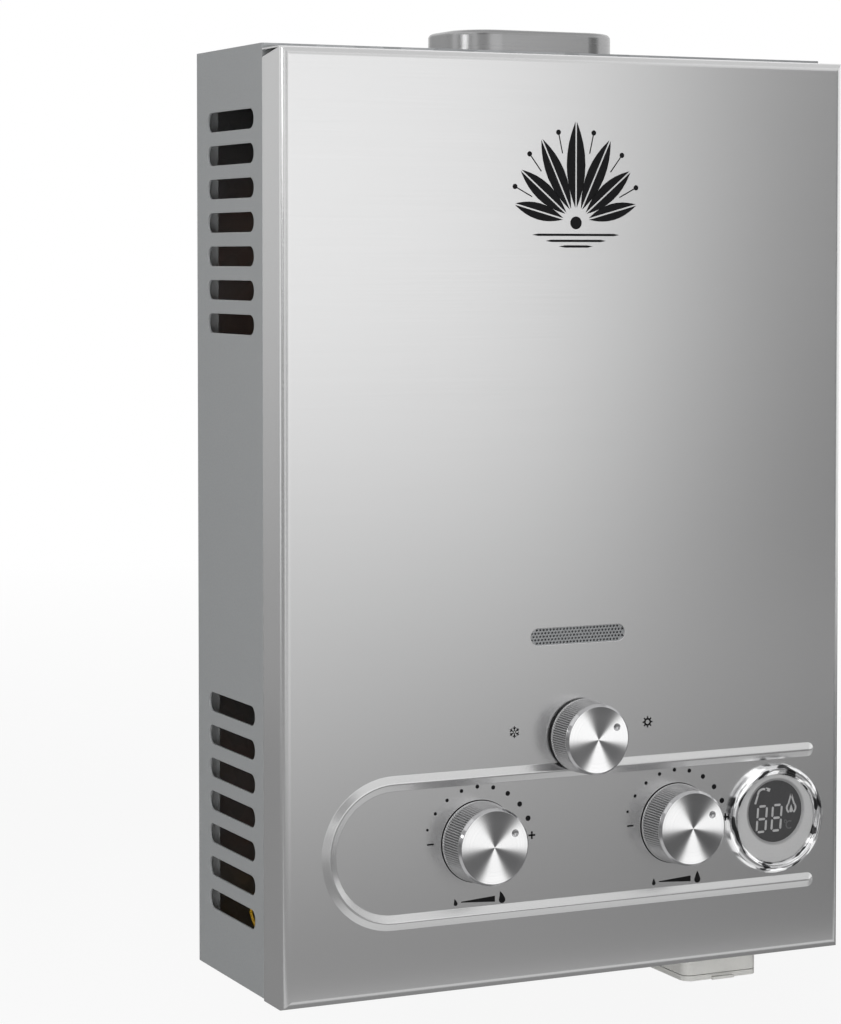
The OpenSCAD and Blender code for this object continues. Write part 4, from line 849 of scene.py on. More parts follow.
class Bench:
    """One piece at a time, shaped with the edit operators.

    Attributes:
        merge: Gap within which points count as one, in metres.
        slack: How far points may stray from where they are looked for, in metres.
    """

    merge: float = 1e-7
    slack: float = 2e-6

    @staticmethod
    def done() -> None:
        """Leaves edit mode."""
        bpy.ops.object.mode_set(mode="OBJECT")

    @staticmethod
    def clear() -> None:
        """Leaves edit mode and deselects everything."""
        if bpy.context.object is not None and bpy.context.object.mode != "OBJECT":
            Bench.done()
        bpy.ops.object.select_all(action="DESELECT")

    @staticmethod
    def only(*pieces: Piece) -> None:
        """Selects these pieces alone, the first one active.

        Args:
            pieces: Pieces to select.
        """
        Bench.clear()
        for piece in pieces:
            piece.select_set(True)
        bpy.context.view_layer.objects.active = pieces[0]

    @staticmethod
    def edit(piece: Piece) -> None:
        """Opens a piece in edit mode, by vertices, with all of it selected.

        Args:
            piece: Piece to edit.
        """
        Bench.only(piece)
        bpy.ops.object.mode_set(mode="EDIT")
        bpy.ops.mesh.select_mode(type="VERT")
        bpy.ops.mesh.select_all(action="SELECT")

    @staticmethod
    def pick(piece: Piece, test: Callable[[Vector], bool]) -> int:
        """Selects the vertices that pass a test, in edit mode.

        Args:
            piece: Piece being edited.
            test: Says of a vertex's place whether it is selected.

        Returns:
            How many were selected.
        """
        bpy.ops.mesh.select_mode(type="VERT")
        bpy.ops.mesh.select_all(action="DESELECT")
        Bench.done()
        count = 0
        for vertex in piece.data.vertices:
            vertex.select = test(vertex.co)
            count += vertex.select
        bpy.ops.object.mode_set(mode="EDIT")
        return count

    @staticmethod
    def paint_faces(piece: Piece, slot: int, test: Callable[[Side], bool]) -> None:
        """Gives the faces that pass a test another of the piece's materials.

        Args:
            piece: Piece to paint.
            slot: Number of the material slot.
            test: Says of a face whether it takes that slot.
        """
        Bench.edit(piece)
        bpy.ops.mesh.select_mode(type="FACE")
        bpy.ops.mesh.select_all(action="DESELECT")
        Bench.done()
        for face in piece.data.polygons:
            face.select = test(face)
        bpy.ops.object.mode_set(mode="EDIT")
        piece.active_material_index = slot
        bpy.ops.object.material_slot_assign()
        Bench.done()

    @staticmethod
    def turned(name: str, profile: Profile, sides: int, closed: bool = False) -> Piece:
        """Turns a profile round Z, ring by ring, as a lathe would.

        Args:
            name: Name of the piece.
            profile: Pairs of radius and height, in millimetres, from the outside inwards.
            sides: Sides of the circle.
            closed: Whether the last ring joins the first, as round a bore.

        Returns:
            The piece, drawn along +Z at the origin.
        """
        Bench.clear()
        radius, height = profile[0]
        bpy.ops.mesh.primitive_circle_add(
            vertices=sides, radius=radius * MM, fill_type="NOTHING", location=(0, 0, height * MM)
        )
        piece = bpy.context.object
        piece.name = name
        bpy.ops.object.transform_apply(location=True, rotation=False, scale=False)
        Bench.edit(piece)
        for next_radius, next_height in profile[1:]:
            rise = (0, 0, (next_height - height) * MM)
            bpy.ops.mesh.extrude_region_move(TRANSFORM_OT_translate={"value": rise})
            if next_radius != radius:
                share = next_radius / radius
                bpy.ops.transform.resize(value=(share, share, 1), center_override=(0, 0, next_height * MM))
            radius, height = next_radius, next_height

        def on_ring(co: Vector, ring: Pair) -> bool:
            """Says whether a point lies on one ring of the profile."""
            aside = abs(math.hypot(co.x, co.y) - ring[0] * MM)
            return abs(co.z - ring[1] * MM) < Bench.merge and aside < Bench.slack

        first, last = profile[0], (radius, height)
        if closed:
            Bench.pick(piece, lambda co: on_ring(co, first) or on_ring(co, last))
            bpy.ops.mesh.select_mode(type="EDGE")
            bpy.ops.mesh.bridge_edge_loops()
        else:
            bpy.ops.mesh.edge_face_add()
            Bench.pick(piece, lambda co: on_ring(co, first))
            bpy.ops.mesh.edge_face_add()
        Bench.outward()
        Bench.done()
        return piece

    @staticmethod
    def outward() -> None:
        """Merges doubles and turns the faces outwards, in edit mode."""
        bpy.ops.mesh.select_all(action="SELECT")
        bpy.ops.mesh.remove_doubles(threshold=Bench.merge)
        bpy.ops.mesh.normals_make_consistent(inside=False)

    @staticmethod
    def settle(piece: Piece, place: Triple, facing: Facing, angle: float = 30.0) -> None:
        """Turns and moves a piece to its place and keeps the place in its mesh.

        Args:
            piece: Piece to place.
            place: Where its own origin goes, in metres.
            facing: Way that its +Z points.
            angle: Edges flatter than this are shaded smooth, in degrees.
        """
        Bench.only(piece)
        piece.rotation_euler = facing.value
        piece.location = place
        bpy.ops.object.transform_apply(location=True, rotation=True, scale=True)
        bpy.ops.object.shade_smooth_by_angle(angle=math.radians(angle))

    @staticmethod
    def modify(piece: Piece, kind: str, **settings: object) -> None:
        """Adds a modifier and applies it.

        Args:
            piece: Piece to modify.
            kind: Blender's type name of the modifier.
            settings: Its properties.
        """
        Bench.only(piece)
        bpy.ops.object.modifier_add(type=kind)
        made = piece.modifiers[-1]
        for key, value in settings.items():
            setattr(made, key, value)
        bpy.ops.object.modifier_apply(modifier=made.name)

    @staticmethod
    def join(name: str, pieces: Sequence[Piece]) -> Piece:
        """Joins pieces into one.

        Args:
            name: Name of the joined piece.
            pieces: Pieces to join.

        Returns:
            The joined piece.
        """
        Bench.only(*pieces)
        if len(pieces) > 1:
            bpy.ops.object.join()
        pieces[0].name = name
        return pieces[0]


class Paper:
    """Flat marks drawn in XY, in millimetres, then pressed onto a front plane as a thin film.

    Attributes:
        film: Thickness of the film.
        wedge_tip: Height of a wedge's thin end, as a share of its thick end.
        marks: Marks drawn so far.
    """

    film: float = 0.05
    wedge_tip: float = 0.15

    def __init__(self) -> None:
        """Starts an empty sheet."""
        self.marks: list[Piece] = []

    def _keep(self) -> Piece:
        """Keeps the mark that was just drawn and returns it."""
        self.marks.append(bpy.context.object)
        return bpy.context.object

    def disc(self, x: float, y: float, radius: float, sides: int = 24) -> None:
        """Draws a filled circle.

        Args:
            x: Centre to the right.
            y: Centre upwards.
            radius: Radius.
            sides: Sides of the circle.
        """
        Bench.clear()
        bpy.ops.mesh.primitive_circle_add(
            vertices=sides, radius=radius * MM, fill_type="NGON", location=(x * MM, y * MM, 0)
        )
        self._keep()

    def bar(
        self, x: float, y: float, length: float, width: float, angle: float = 0.0, point: float = 0.0
    ) -> Piece:
        """Draws a straight stroke.

        Args:
            x: Centre to the right.
            y: Centre upwards.
            length: Length of the stroke.
            width: Width of the stroke.
            angle: Turn from the right, in degrees.
            point: How far both ends are drawn out to points.

        Returns:
            The mark.
        """
        Bench.clear()
        turn = math.radians(angle)
        bpy.ops.mesh.primitive_plane_add(size=MM, location=(x * MM, y * MM, 0), rotation=(0, 0, turn))
        mark = self._keep()
        Bench.edit(mark)
        half = length / 2 - point
        if point > 0:
            bpy.ops.mesh.subdivide(number_cuts=1)
            for end in (-1, 1):
                Bench.pick(mark, lambda co, end=end: end * co.x > 0.4 * MM and abs(co.y) < 0.1 * MM)
                drawn = Vector((end * point / (2 * half) * MM, 0, 0))
                bpy.ops.transform.translate(value=Matrix.Rotation(turn, 3, "Z") @ drawn)
        Bench.done()
        mark.scale = (2 * half, width, 1)
        return mark

    def ring(
        self, x: float, y: float, radius: float, width: float,
        start: float = 0.0, end: float = 360.0, sides: int = 48,
    ) -> None:
        """Draws a ring or an arc.

        Args:
            x: Centre to the right.
            y: Centre upwards.
            radius: Radius at the middle of the stroke.
            width: Width of the stroke.
            start: Angle where an arc starts, in degrees.
            end: Angle where it ends.
            sides: Sides of the whole circle.
        """
        Bench.clear()
        outer, inner = radius + width / 2, radius - width / 2
        bpy.ops.mesh.primitive_circle_add(vertices=sides, radius=outer * MM, fill_type="NOTHING")
        mark = self._keep()
        Bench.edit(mark)
        bpy.ops.mesh.extrude_region_move()
        bpy.ops.transform.resize(value=(inner / outer,) * 3, center_override=(0, 0, 0))
        if end - start < 360.0:
            slack = 0.5
            arc = end - start + 2 * slack
            first = start - slack
            if Bench.pick(mark, lambda co: (math.degrees(math.atan2(co.y, co.x)) - first) % 360.0 > arc):
                bpy.ops.mesh.delete(type="VERT")
        Bench.done()
        mark.location = (x * MM, y * MM, 0)

    def leaf(
        self, x: float, y: float, width: float, length: float, sharp: float = 0.15, lean: float = 0.0
    ) -> None:
        """Draws a drop: round at its foot, drawn up to a point.

        Args:
            x: Foot's centre to the right.
            y: Foot's centre upwards.
            width: Width at the foot.
            length: Length from the foot's centre to the point.
            sharp: How much the shoulders close in towards the point.
            lean: How far the point leans to the left, as a share of the width.
        """
        Bench.clear()
        sides = 32
        levels = sides // 4
        radius = width / 2 * MM
        aside = 4 * length * MM
        bpy.ops.mesh.primitive_circle_add(vertices=sides, radius=radius, fill_type="NGON")
        mark = self._keep()
        Bench.edit(mark)
        for level in range(1, levels + 1):
            height = radius * math.sin(math.radians(360.0 / sides) * level)
            share = level / levels
            Bench.pick(mark, lambda co, h=height: abs(co.y - h) < 0.01 * radius)
            narrow = 1.0 - sharp * math.sin(math.pi * share)
            rise = (length * MM - radius) * share**1.6
            bpy.ops.transform.resize(value=(narrow, 1, 1), center_override=(0, height, 0))
            bpy.ops.transform.translate(value=(-lean * width * MM * share**2, rise + aside, 0))
        Bench.pick(mark, lambda co: co.y > aside / 2)
        bpy.ops.transform.translate(value=(0, -aside, 0))
        Bench.done()
        mark.location = (x * MM, y * MM, 0)

    def wedge(self, x: float, y: float, length: float, height: float) -> None:
        """Draws a wedge that grows to the right.

        Args:
            x: Middle to the right.
            y: Middle upwards.
            length: Length of the wedge.
            height: Height of its thick end.
        """
        mark = self.bar(x, y, length, height)
        Bench.edit(mark)
        Bench.pick(mark, lambda co: co.x < 0)
        bpy.ops.transform.resize(value=(1, self.wedge_tip, 1), center_override=(x * MM, y * MM, 0))
        Bench.done()

    def _half_petal(self) -> Piece:
        """Draws one half of a pointed petal, 1 mm long, with its straight side along X.

        Returns:
            The mark.
        """
        Bench.clear()
        sides = 24
        bpy.ops.mesh.primitive_circle_add(vertices=sides, radius=MM / 2, fill_type="NGON")
        mark = self._keep()
        Bench.edit(mark)
        for level in range(-sides // 4 + 1, sides // 4):
            turn = math.tau / sides * level
            Bench.pick(mark, lambda co, across=math.sin(turn) * MM / 2: abs(co.x - across) < Bench.slack)
            bpy.ops.transform.resize(value=(1, math.cos(turn), 1), center_override=(0, 0, 0))
        Bench.pick(mark, lambda co: co.y < -Bench.merge)
        bpy.ops.transform.resize(value=(1, 0, 1), center_override=(0, 0, 0))
        Bench.done()
        return mark

    def petals(self, x: float, y: float, start: float, vein: float, rows: Sequence[Triple]) -> None:
        """Draws petals that fan out from one point, each split along its vein.

        Args:
            x: Point to the right.
            y: Point upwards.
            start: From the point to the petals.
            vein: Gap between a petal's halves.
            rows: Angle in degrees, length and width of each petal.
        """
        half = self._half_petal()
        for index, (angle, length, width) in enumerate(rows):
            turn = math.radians(angle)
            for side in (1, -1):
                mark = half
                if index or side < 0:
                    Bench.only(half)
                    bpy.ops.object.duplicate()
                    mark = self._keep()
                out, aside = start + length / 2, side * vein / 2
                mark.location = (
                    (x + out * math.cos(turn) - aside * math.sin(turn)) * MM,
                    (y + out * math.sin(turn) + aside * math.cos(turn)) * MM,
                    0,
                )
                mark.rotation_euler = (0, 0, turn)
                mark.scale = (length, side * width, 1)

    def press(self, name: str, centre: Pair, plane: float, finish: Finish, slot: str) -> Piece:
        """Presses all marks onto a front plane as one thin piece.

        Args:
            name: Name of the piece.
            centre: Where the sheet's origin goes, X and Z in metres.
            plane: Y of the plane, in metres.
            finish: Finish of the film.
            slot: The record's material slot.

        Returns:
            The piece.
        """
        Bench.only(*self.marks)
        bpy.ops.object.transform_apply(location=True, rotation=True, scale=True)
        piece = Bench.join(name, self.marks)
        bpy.ops.object.mode_set(mode="EDIT")
        bpy.ops.mesh.select_mode(type="FACE")
        bpy.ops.mesh.select_all(action="SELECT")
        bpy.ops.mesh.extrude_region_move(TRANSFORM_OT_translate={"value": (0, 0, self.film * MM)})
        Bench.outward()
        Bench.done()
        Bench.settle(piece, (centre[0], plane, centre[1]), Facing.FRONT)
        piece.data.materials.append(finish.material())
        return keep(piece, "case", slot)


def keep(piece: Piece, body: str, slot: str, *nodes: str) -> Piece:
    """Attaches a finished piece to its body and hides the CAD nodes that it stands for.

    Args:
        piece: Finished piece.
        body: Body that it rides on.
        slot: The record's material slot; not used.
        nodes: CAD nodes that it stands for.

    Returns:
        The piece.
    """
    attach(piece, body)
    if nodes:
        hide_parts(*nodes)
    LOG.info("%s rides on %s, %d faces", piece.name, body, len(piece.data.polygons))
    return piece


def polar(reach: float, angle: float) -> Pair:
    """Returns the place at a reach from the origin and an angle in degrees from the right."""
    return reach * math.cos(math.radians(angle)), reach * math.sin(math.radians(angle))


def middle(node: str) -> Vector:
    """Returns the middle of a CAD node's box, in metres."""
    low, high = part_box(node)
    return (low + high) / 2


# Sub-assemblies


@dataclass
class FrontPrints:
    """Dials, signs and ornament printed on the front cover, and painted shadow rings at the feet of the gas
    and water knobs.

    Attributes:
        bead_height: Height of the cover's bead over its front plane.
        dial_radius: Radius of the ring of dots round a knob.
        dial_drop: From a knob's axis down to the ring's middle.
        dots: Diameters of the dots, from the low to the high end.
        first_dot: Angle of the first dot, in degrees.
        dot_step: Angle from dot to dot.
        label_drop: From a knob's axis down to its sign.
        sign_out: From a knob's axis out to the low and high signs.
        season_out: From the season knob's axis out to its signs.
        season_up: From the season knob's axis up to its signs.
        ornament_up: From the middle of the case up to the ornament.
    """

    bead_height: float = 1.6
    dial_radius: float = 28.0
    dial_drop: float = 2.5
    dots: tuple[float, ...] = (1.3, 1.6, 1.7, 1.8, 1.9, 2.0, 2.3, 2.5, 2.6)
    first_dot: float = 159.4
    dot_step: float = 17.0
    label_drop: float = 27.4
    sign_out: float = 24.7
    season_out: float = 35.5
    season_up: float = 3.7
    ornament_up: float = 154.8

    @property
    def plane(self) -> float:
        """Y of the cover's front plane, in metres."""
        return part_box("front_cover")[0].y + self.bead_height * MM

    def _press(self, paper: Paper, name: str, x: float, z: float) -> None:
        """Presses a sheet in black on the cover, at a place in metres."""
        paper.press(name, (x, z), self.plane, INK_AND_FOOT_SHADOW, "dark_plastic")

    def dial(self, knob: str) -> None:
        """Prints the growing dots and the low and high signs round a knob, and a fine black ring at its foot
        as painted shadow.

        Args:
            knob: CAD node of the knob.
        """
        paper = Paper()
        for index, size in enumerate(self.dots):
            x, y = polar(self.dial_radius, self.first_dot - index * self.dot_step)
            paper.disc(x, y - self.dial_drop, size / 2)
        paper.bar(-self.sign_out, 0.5, 3.4, 0.8)
        for angle in (0.0, 90.0):
            paper.bar(self.sign_out + 3.0, 0.5, 3.6, 0.85, angle)
        low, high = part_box(knob)
        # Painted shadow: a thin black ring at the knob's foot, where the gap to the cover falls dark.
        paper.ring(0, 0, (high.x - low.x) / 2 / MM - 0.15, 1.0, sides=96)
        axis = middle(knob)
        self._press(paper, f"{knob}_dial", axis.x, axis.z)

    def legend(self, knob: str, name: str, lean: float) -> None:
        """Prints a small drop, a growing wedge and a large drop under a knob.

        Args:
            knob: CAD node of the knob.
            name: Name of the piece.
            lean: Lean of the drops' points, which makes flames of them.
        """
        paper = Paper()
        paper.leaf(-11.8, -0.7, 2.0, 2.3, lean=lean)
        paper.wedge(-0.3, -0.2, 17.5, 2.8)
        paper.leaf(12.2, -0.9, 3.4, 4.0, lean=lean)
        axis = middle(knob)
        self._press(paper, name, axis.x, axis.z - self.label_drop * MM)

    def snow_sign(self) -> None:
        """Prints a snow crystal left of the season knob."""
        paper = Paper()
        for arm in range(6):
            angle = 60.0 * arm + 30.0
            paper.bar(*polar(1.6, angle), 2.3, 0.5, angle)
            x, y = polar(1.5, angle)
            for twig in (angle - 52.0, angle + 52.0):
                right, up = polar(0.5, twig)
                paper.bar(x + right, y + up, 1.1, 0.42, twig)
        axis = middle("season_knob")
        self._press(paper, "snow_sign", axis.x - self.season_out * MM, axis.z + self.season_up * MM)

    def sun_sign(self) -> None:
        """Prints a sun right of the season knob."""
        paper = Paper()
        paper.ring(0, 0, 1.45, 0.85, sides=32)
        for ray in range(8):
            paper.bar(*polar(2.25, 45.0 * ray), 0.9, 0.7, 45.0 * ray)
        axis = middle("season_knob")
        self._press(paper, "sun_sign", axis.x + self.season_out * MM, axis.z + self.season_up * MM)

    def ornament(self) -> None:
        """Prints a plain open flower over ripples on the upper half."""
        paper = Paper()
        foot = -18.0
        rows = [(90.0, 40.0, 9.2)]
        for side in (-1, 1):
            for away, length, width in ((25.0, 35.5, 8.6), (50.0, 30.5, 8.0), (75.0, 26.0, 7.0)):
                rows.append((90.0 + side * away, length, width))
        paper.petals(0, foot, 7.0, 0.7, rows)
        for between, reach in ((12.5, 43.0), (37.5, 40.0), (62.5, 36.0)):
            for side in (-1, 1):
                angle = 90.0 + side * between
                x, y = polar(reach - 5.5, angle)
                paper.bar(x, foot + y, 9.0, 0.55, angle)
                x, y = polar(reach, angle)
                paper.disc(x, foot + y, 1.25, 20)
        paper.disc(0, foot, 3.0, 32)
        for drop, length in ((5.6, 46.0), (8.4, 32.0), (11.0, 18.0)):
            paper.bar(0, foot - drop, length, 1.1, point=3.0)
        self._press(paper, "front_flower", 0.4 * MM, self.ornament_up * MM)

    def build(self) -> None:
        """Prints everything on the cover, the painted shadow rings at the knobs' feet included."""
        for knob in ("gas_knob", "water_knob"):
            self.dial(knob)
        self.legend("gas_knob", "flame_sign", 0.32)
        self.legend("water_knob", "drop_sign", 0.0)
        self.snow_sign()
        self.sun_sign()
        self.ornament()


@dataclass
class Knob:
    """A knurled knob with a spun face, over its CAD solids.

    Attributes:
        control: First word of the control's node and body names.
        ridges: Ridges round the grip.
        rows: Rows of faces along the ridges.
        groove: Depth of the grooves between the ridges.
        ridge_foot: From the grip's foot to the ridges.
        ridge_end: From the ridges to the grip's top.
        edge: Width of the face's polished edge.
        edge_drop: How far that edge falls back.
        dimple_share: From the axis to the pointer dimple, as a share of the face's radius.
        dimple_angle: Angle of the dimple, in degrees.
        dimple_radius: Radius of the dimple.
        dimple_ball: Radius of the ball that the dimple is cut with.
        foot_radius: Radius of the grip's foot.
        height: Height of the grip.
        rim_radius: Radius of the face's rim.
        face_height: Height of the face plate.
        face_radius: Radius of the spun face.
    """

    control: str
    ridges: int = 96
    rows: int = 4
    groove: float = 0.5
    ridge_foot: float = 0.9
    ridge_end: float = 0.6
    edge: float = 1.1
    edge_drop: float = 1.4
    dimple_share: float = 0.71
    dimple_angle: float = 29.0
    dimple_radius: float = 1.75
    dimple_ball: float = 2.4
    foot_radius: float = field(init=False)
    height: float = field(init=False)
    rim_radius: float = field(init=False)
    face_height: float = field(init=False)
    face_radius: float = field(init=False)

    def __post_init__(self) -> None:
        """Takes the radii and heights from the CAD solids."""
        low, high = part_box(f"{self.control}_knob")
        self.foot_radius = (high.x - low.x) / 2 / MM
        self.height = (high.y - low.y) / MM
        low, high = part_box(f"{self.control}_knob_face")
        self.rim_radius = (high.x - low.x) / 2 / MM
        self.face_height = (high.y - low.y) / MM
        self.face_radius = self.rim_radius - self.edge

    def _radius(self, height: float) -> float:
        """Returns the grip's outer radius at a height over its foot."""
        return self.foot_radius + (self.rim_radius - self.foot_radius) * height / self.height

    def grip(self) -> Piece:
        """Makes the knurled grip, with painted shade on its groove floors.

        Returns:
            The piece.
        """
        low, high = self.ridge_foot, self.height - self.ridge_end
        rows = [low + (high - low) * row / self.rows for row in range(self.rows + 1)]
        profile = [(self.foot_radius - 0.3, 0.0), (self.foot_radius, 0.3), (self.foot_radius, 0.7)]
        profile += [(self._radius(row), row) for row in rows]
        profile += [(self.rim_radius - 0.05, self.height - 0.4), (self.rim_radius - 0.3, self.height)]
        piece = Bench.turned(f"{self.control}_knob_grip", profile, 4 * self.ridges)
        Bench.edit(piece)
        step = math.pi / (2 * self.ridges)
        valley = 1.0 - self.groove / self.foot_radius

        def in_rows(co: Vector) -> bool:
            """Says whether a point lies on the ridges."""
            return (low - 0.05) * MM < co.z < (high + 0.05) * MM

        Bench.pick(piece, lambda co: in_rows(co) and round(math.atan2(co.y, co.x) / step) % 4 > 1)
        bpy.ops.transform.resize(value=(valley, valley, 1), center_override=(0, 0, 0))
        Bench.done()
        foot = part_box(f"{self.control}_knob")[1].y
        axis = middle(f"{self.control}_knob")
        Bench.settle(piece, (axis.x, foot, axis.z), Facing.FRONT, 20.0)
        piece.data.materials.append(FINISHES["knob_metal"].material())
        piece.data.materials.append(PAINTED_GROOVE_SHADE.material())

        def in_groove(side: Side) -> bool:
            """Says whether a side is the floor of a groove."""
            turn = math.atan2(side.center.z - axis.z, side.center.x - axis.x) / step % 4
            return abs(turn - 2.5) < 0.2 and low * MM < foot - side.center.y < high * MM

        # The groove floors take the dark metal as painted shade.
        Bench.paint_faces(piece, 1, in_groove)
        return keep(piece, f"{self.control}_control", "knob_metal", f"{self.control}_knob")

    def face(self) -> Piece:
        """Makes the spun face plate with its polished edge and pointer dimple.

        Returns:
            The piece.
        """
        top, rim, face = self.face_height, self.rim_radius, self.face_radius
        profile = [
            (rim - 0.5, 0.0), (rim - 0.06, 0.0), (rim, 0.06),
            (rim - 0.02, top - self.edge_drop), (rim - 0.2, 0.4),
            (face + 0.2, top - 0.24), (face + 0.03, top - 0.05), (face - 0.05, top), (face - 0.4, top - 0.03),
            (0.71 * face, top - 0.06), (0.41 * face, top - 0.09),
            (0.15 * face, top - 0.11), (0.3, top - 0.12),
        ]
        piece = Bench.turned(f"{self.control}_knob_cap", profile, 128)
        sink = math.sqrt(self.dimple_ball**2 - self.dimple_radius**2)
        across, up = polar(self.dimple_share * face * MM, self.dimple_angle)
        Bench.clear()
        bpy.ops.mesh.primitive_uv_sphere_add(
            segments=32, ring_count=16, radius=self.dimple_ball * MM,
            location=(across, up, (top - 0.06 + sink) * MM),
        )
        cutter = bpy.context.object
        bpy.ops.object.transform_apply(location=True, rotation=True, scale=True)
        Bench.modify(piece, "BOOLEAN", operation="DIFFERENCE", object=cutter, solver="EXACT")
        bpy.data.objects.remove(cutter)
        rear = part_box(f"{self.control}_knob_face")[1].y
        axis = middle(f"{self.control}_knob_face")
        Bench.settle(piece, (axis.x, rear, axis.z), Facing.FRONT, 25.0)
        piece.data.materials.append(POLISHED.material())
        piece.data.materials.append(SPUN_PAINTED_SHADE.material(tuple(axis), FORE_AFT))
        dimple = Vector((axis.x + across, 0, axis.z + up))

        def spun(side: Side) -> bool:
            """Says whether a side is on the spun face."""
            away = math.hypot(side.center.x - axis.x, side.center.z - axis.z)
            near = math.hypot(side.center.x - dimple.x, side.center.z - dimple.z)
            on_face = side.normal.y < -0.9 and away < (face - 0.1) * MM
            return on_face and near > 0.98 * self.dimple_radius * MM

        Bench.paint_faces(piece, 1, spun)
        return keep(piece, f"{self.control}_control", "knob_face", f"{self.control}_knob_face")

    def build(self) -> None:
        """Makes the grip and the face."""
        self.grip()
        self.face()


@dataclass
class Display:
    """Chrome ring of the round display, and the segments and signs on its window.

    Attributes:
        ring_width: Width of the chrome ring.
        ring_base: Height where the ring starts to round over.
        sleeve: How far the ring's sleeve reaches back.
        sleeve_wall: Thickness of the sleeve.
        digit_height: Height of a digit.
        digit_width: Width of a digit.
        digit_slant: How far a digit's top leans to the right.
        stroke: Width of a segment.
        stroke_point: How far a segment's ends are drawn out to points.
        digit_places: X of the digits' middles, from the window's centre.
        digit_up: Z of the digits' middles, from the window's centre.
    """

    ring_width: float = 5.0
    ring_base: float = 1.6
    sleeve: float = 11.0
    sleeve_wall: float = 1.0
    digit_height: float = 12.4
    digit_width: float = 5.0
    digit_slant: float = 0.9
    stroke: float = 1.15
    stroke_point: float = 0.45
    digit_places: Pair = (-7.5, 0.9)
    digit_up: float = -3.3

    def ring(self) -> None:
        """Makes the chrome ring, rolled over in two steps."""
        low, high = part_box("display_bezel")
        centre = middle("display_bezel")
        outer = (high.x - low.x) / 2 / MM
        inner, base = outer - self.ring_width, self.ring_base
        wall = inner + self.sleeve_wall
        profile = [(inner, -self.sleeve), (wall, -self.sleeve), (wall, 0.0), (outer, 0.0), (outer, base)]
        profile += [(outer - away, base + up) for away, up in (
            (0.15, 0.7), (0.6, 1.4), (1.3, 2.0), (2.1, 2.4), (2.7, 2.5), (3.1, 2.35),
            (3.3, 2.0), (3.45, 1.75), (3.6, 1.75), (4.1, 1.55), (4.6, 1.1), (4.9, 0.5),
        )]
        profile += [(inner, base - 0.2)]
        piece = Bench.turned("display_ring", profile, 128, closed=True)
        Bench.settle(piece, (centre.x, high.y - self.sleeve * MM, centre.z), Facing.FRONT, 40.0)
        piece.data.materials.append(FINISHES["chrome"].material(tuple(centre), FORE_AFT))
        keep(piece, "case", "chrome", "display_bezel")

    def _digit(self, paper: Paper, x: float) -> None:
        """Draws the seven segments of one digit.

        Args:
            paper: Sheet to draw on.
            x: Middle of the digit.
        """
        half_h, half_w = self.digit_height / 2, self.digit_width / 2
        lean = math.degrees(math.atan2(self.digit_height, self.digit_slant))
        across, along = self.digit_width - 1.1, half_h - 1.0
        for level in (-1, 0, 1):
            left, up = x + self.digit_slant / 2 * level, self.digit_up + level * half_h
            paper.bar(left, up, across, self.stroke, point=self.stroke_point)
        for side in (-1, 1):
            for level in (-1, 1):
                left = x + self.digit_slant / 4 * level + side * half_w
                up = self.digit_up + level * half_h / 2
                paper.bar(left, up, along, self.stroke, lean, self.stroke_point)

    def digits(self) -> None:
        """Shows two digits with all segments lit."""
        paper = Paper()
        for x in self.digit_places:
            self._digit(paper, x)
        self._press(paper, "display_digits", SEGMENT)

    def signs(self) -> None:
        """Shows an outlined flame with a drop inside, and a tap."""
        paper = Paper()
        flame_x, flame_z = 9.2, 1.0
        paper.ring(flame_x, flame_z, 2.5, 1.0, -62.0, 50.0)
        paper.ring(flame_x, flame_z, 2.5, 1.0, 130.0, 242.0)
        for side in (-1, 1):
            paper.bar(flame_x + side * 0.86, flame_z + 4.2, 5.2, 0.95, 90 + side * 19)
        paper.leaf(flame_x, flame_z - 1.3, 2.0, 2.9)
        paper.bar(-10.5, 6.4, 4.6, 1.1, 70)
        paper.ring(-6.8, 8.3, 3.0, 1.1, 52.0, 176.0)
        paper.bar(-4.2, 10.9, 2.8, 1.6, -20)
        self._press(paper, "display_signs", SEGMENT)

    def unit(self) -> None:
        """Shows a faint degree ring and the arc beside it."""
        paper = Paper()
        paper.ring(5.9, -5.4, 0.65, 0.45, sides=20)
        paper.ring(8.2, -7.2, 1.8, 0.7, 48.0, 312.0)
        self._press(paper, "display_unit", FAINT_SEGMENT)

    def _press(self, paper: Paper, name: str, finish: Finish) -> None:
        """Presses a sheet on the window in the segments' finish."""
        centre = middle("display_window")
        paper.press(name, (centre.x, centre.z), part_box("display_window")[0].y, finish, "fascia")

    def build(self) -> None:
        """Makes the ring and shows everything on the window."""
        self.ring()
        self.digits()
        self.signs()
        self.unit()


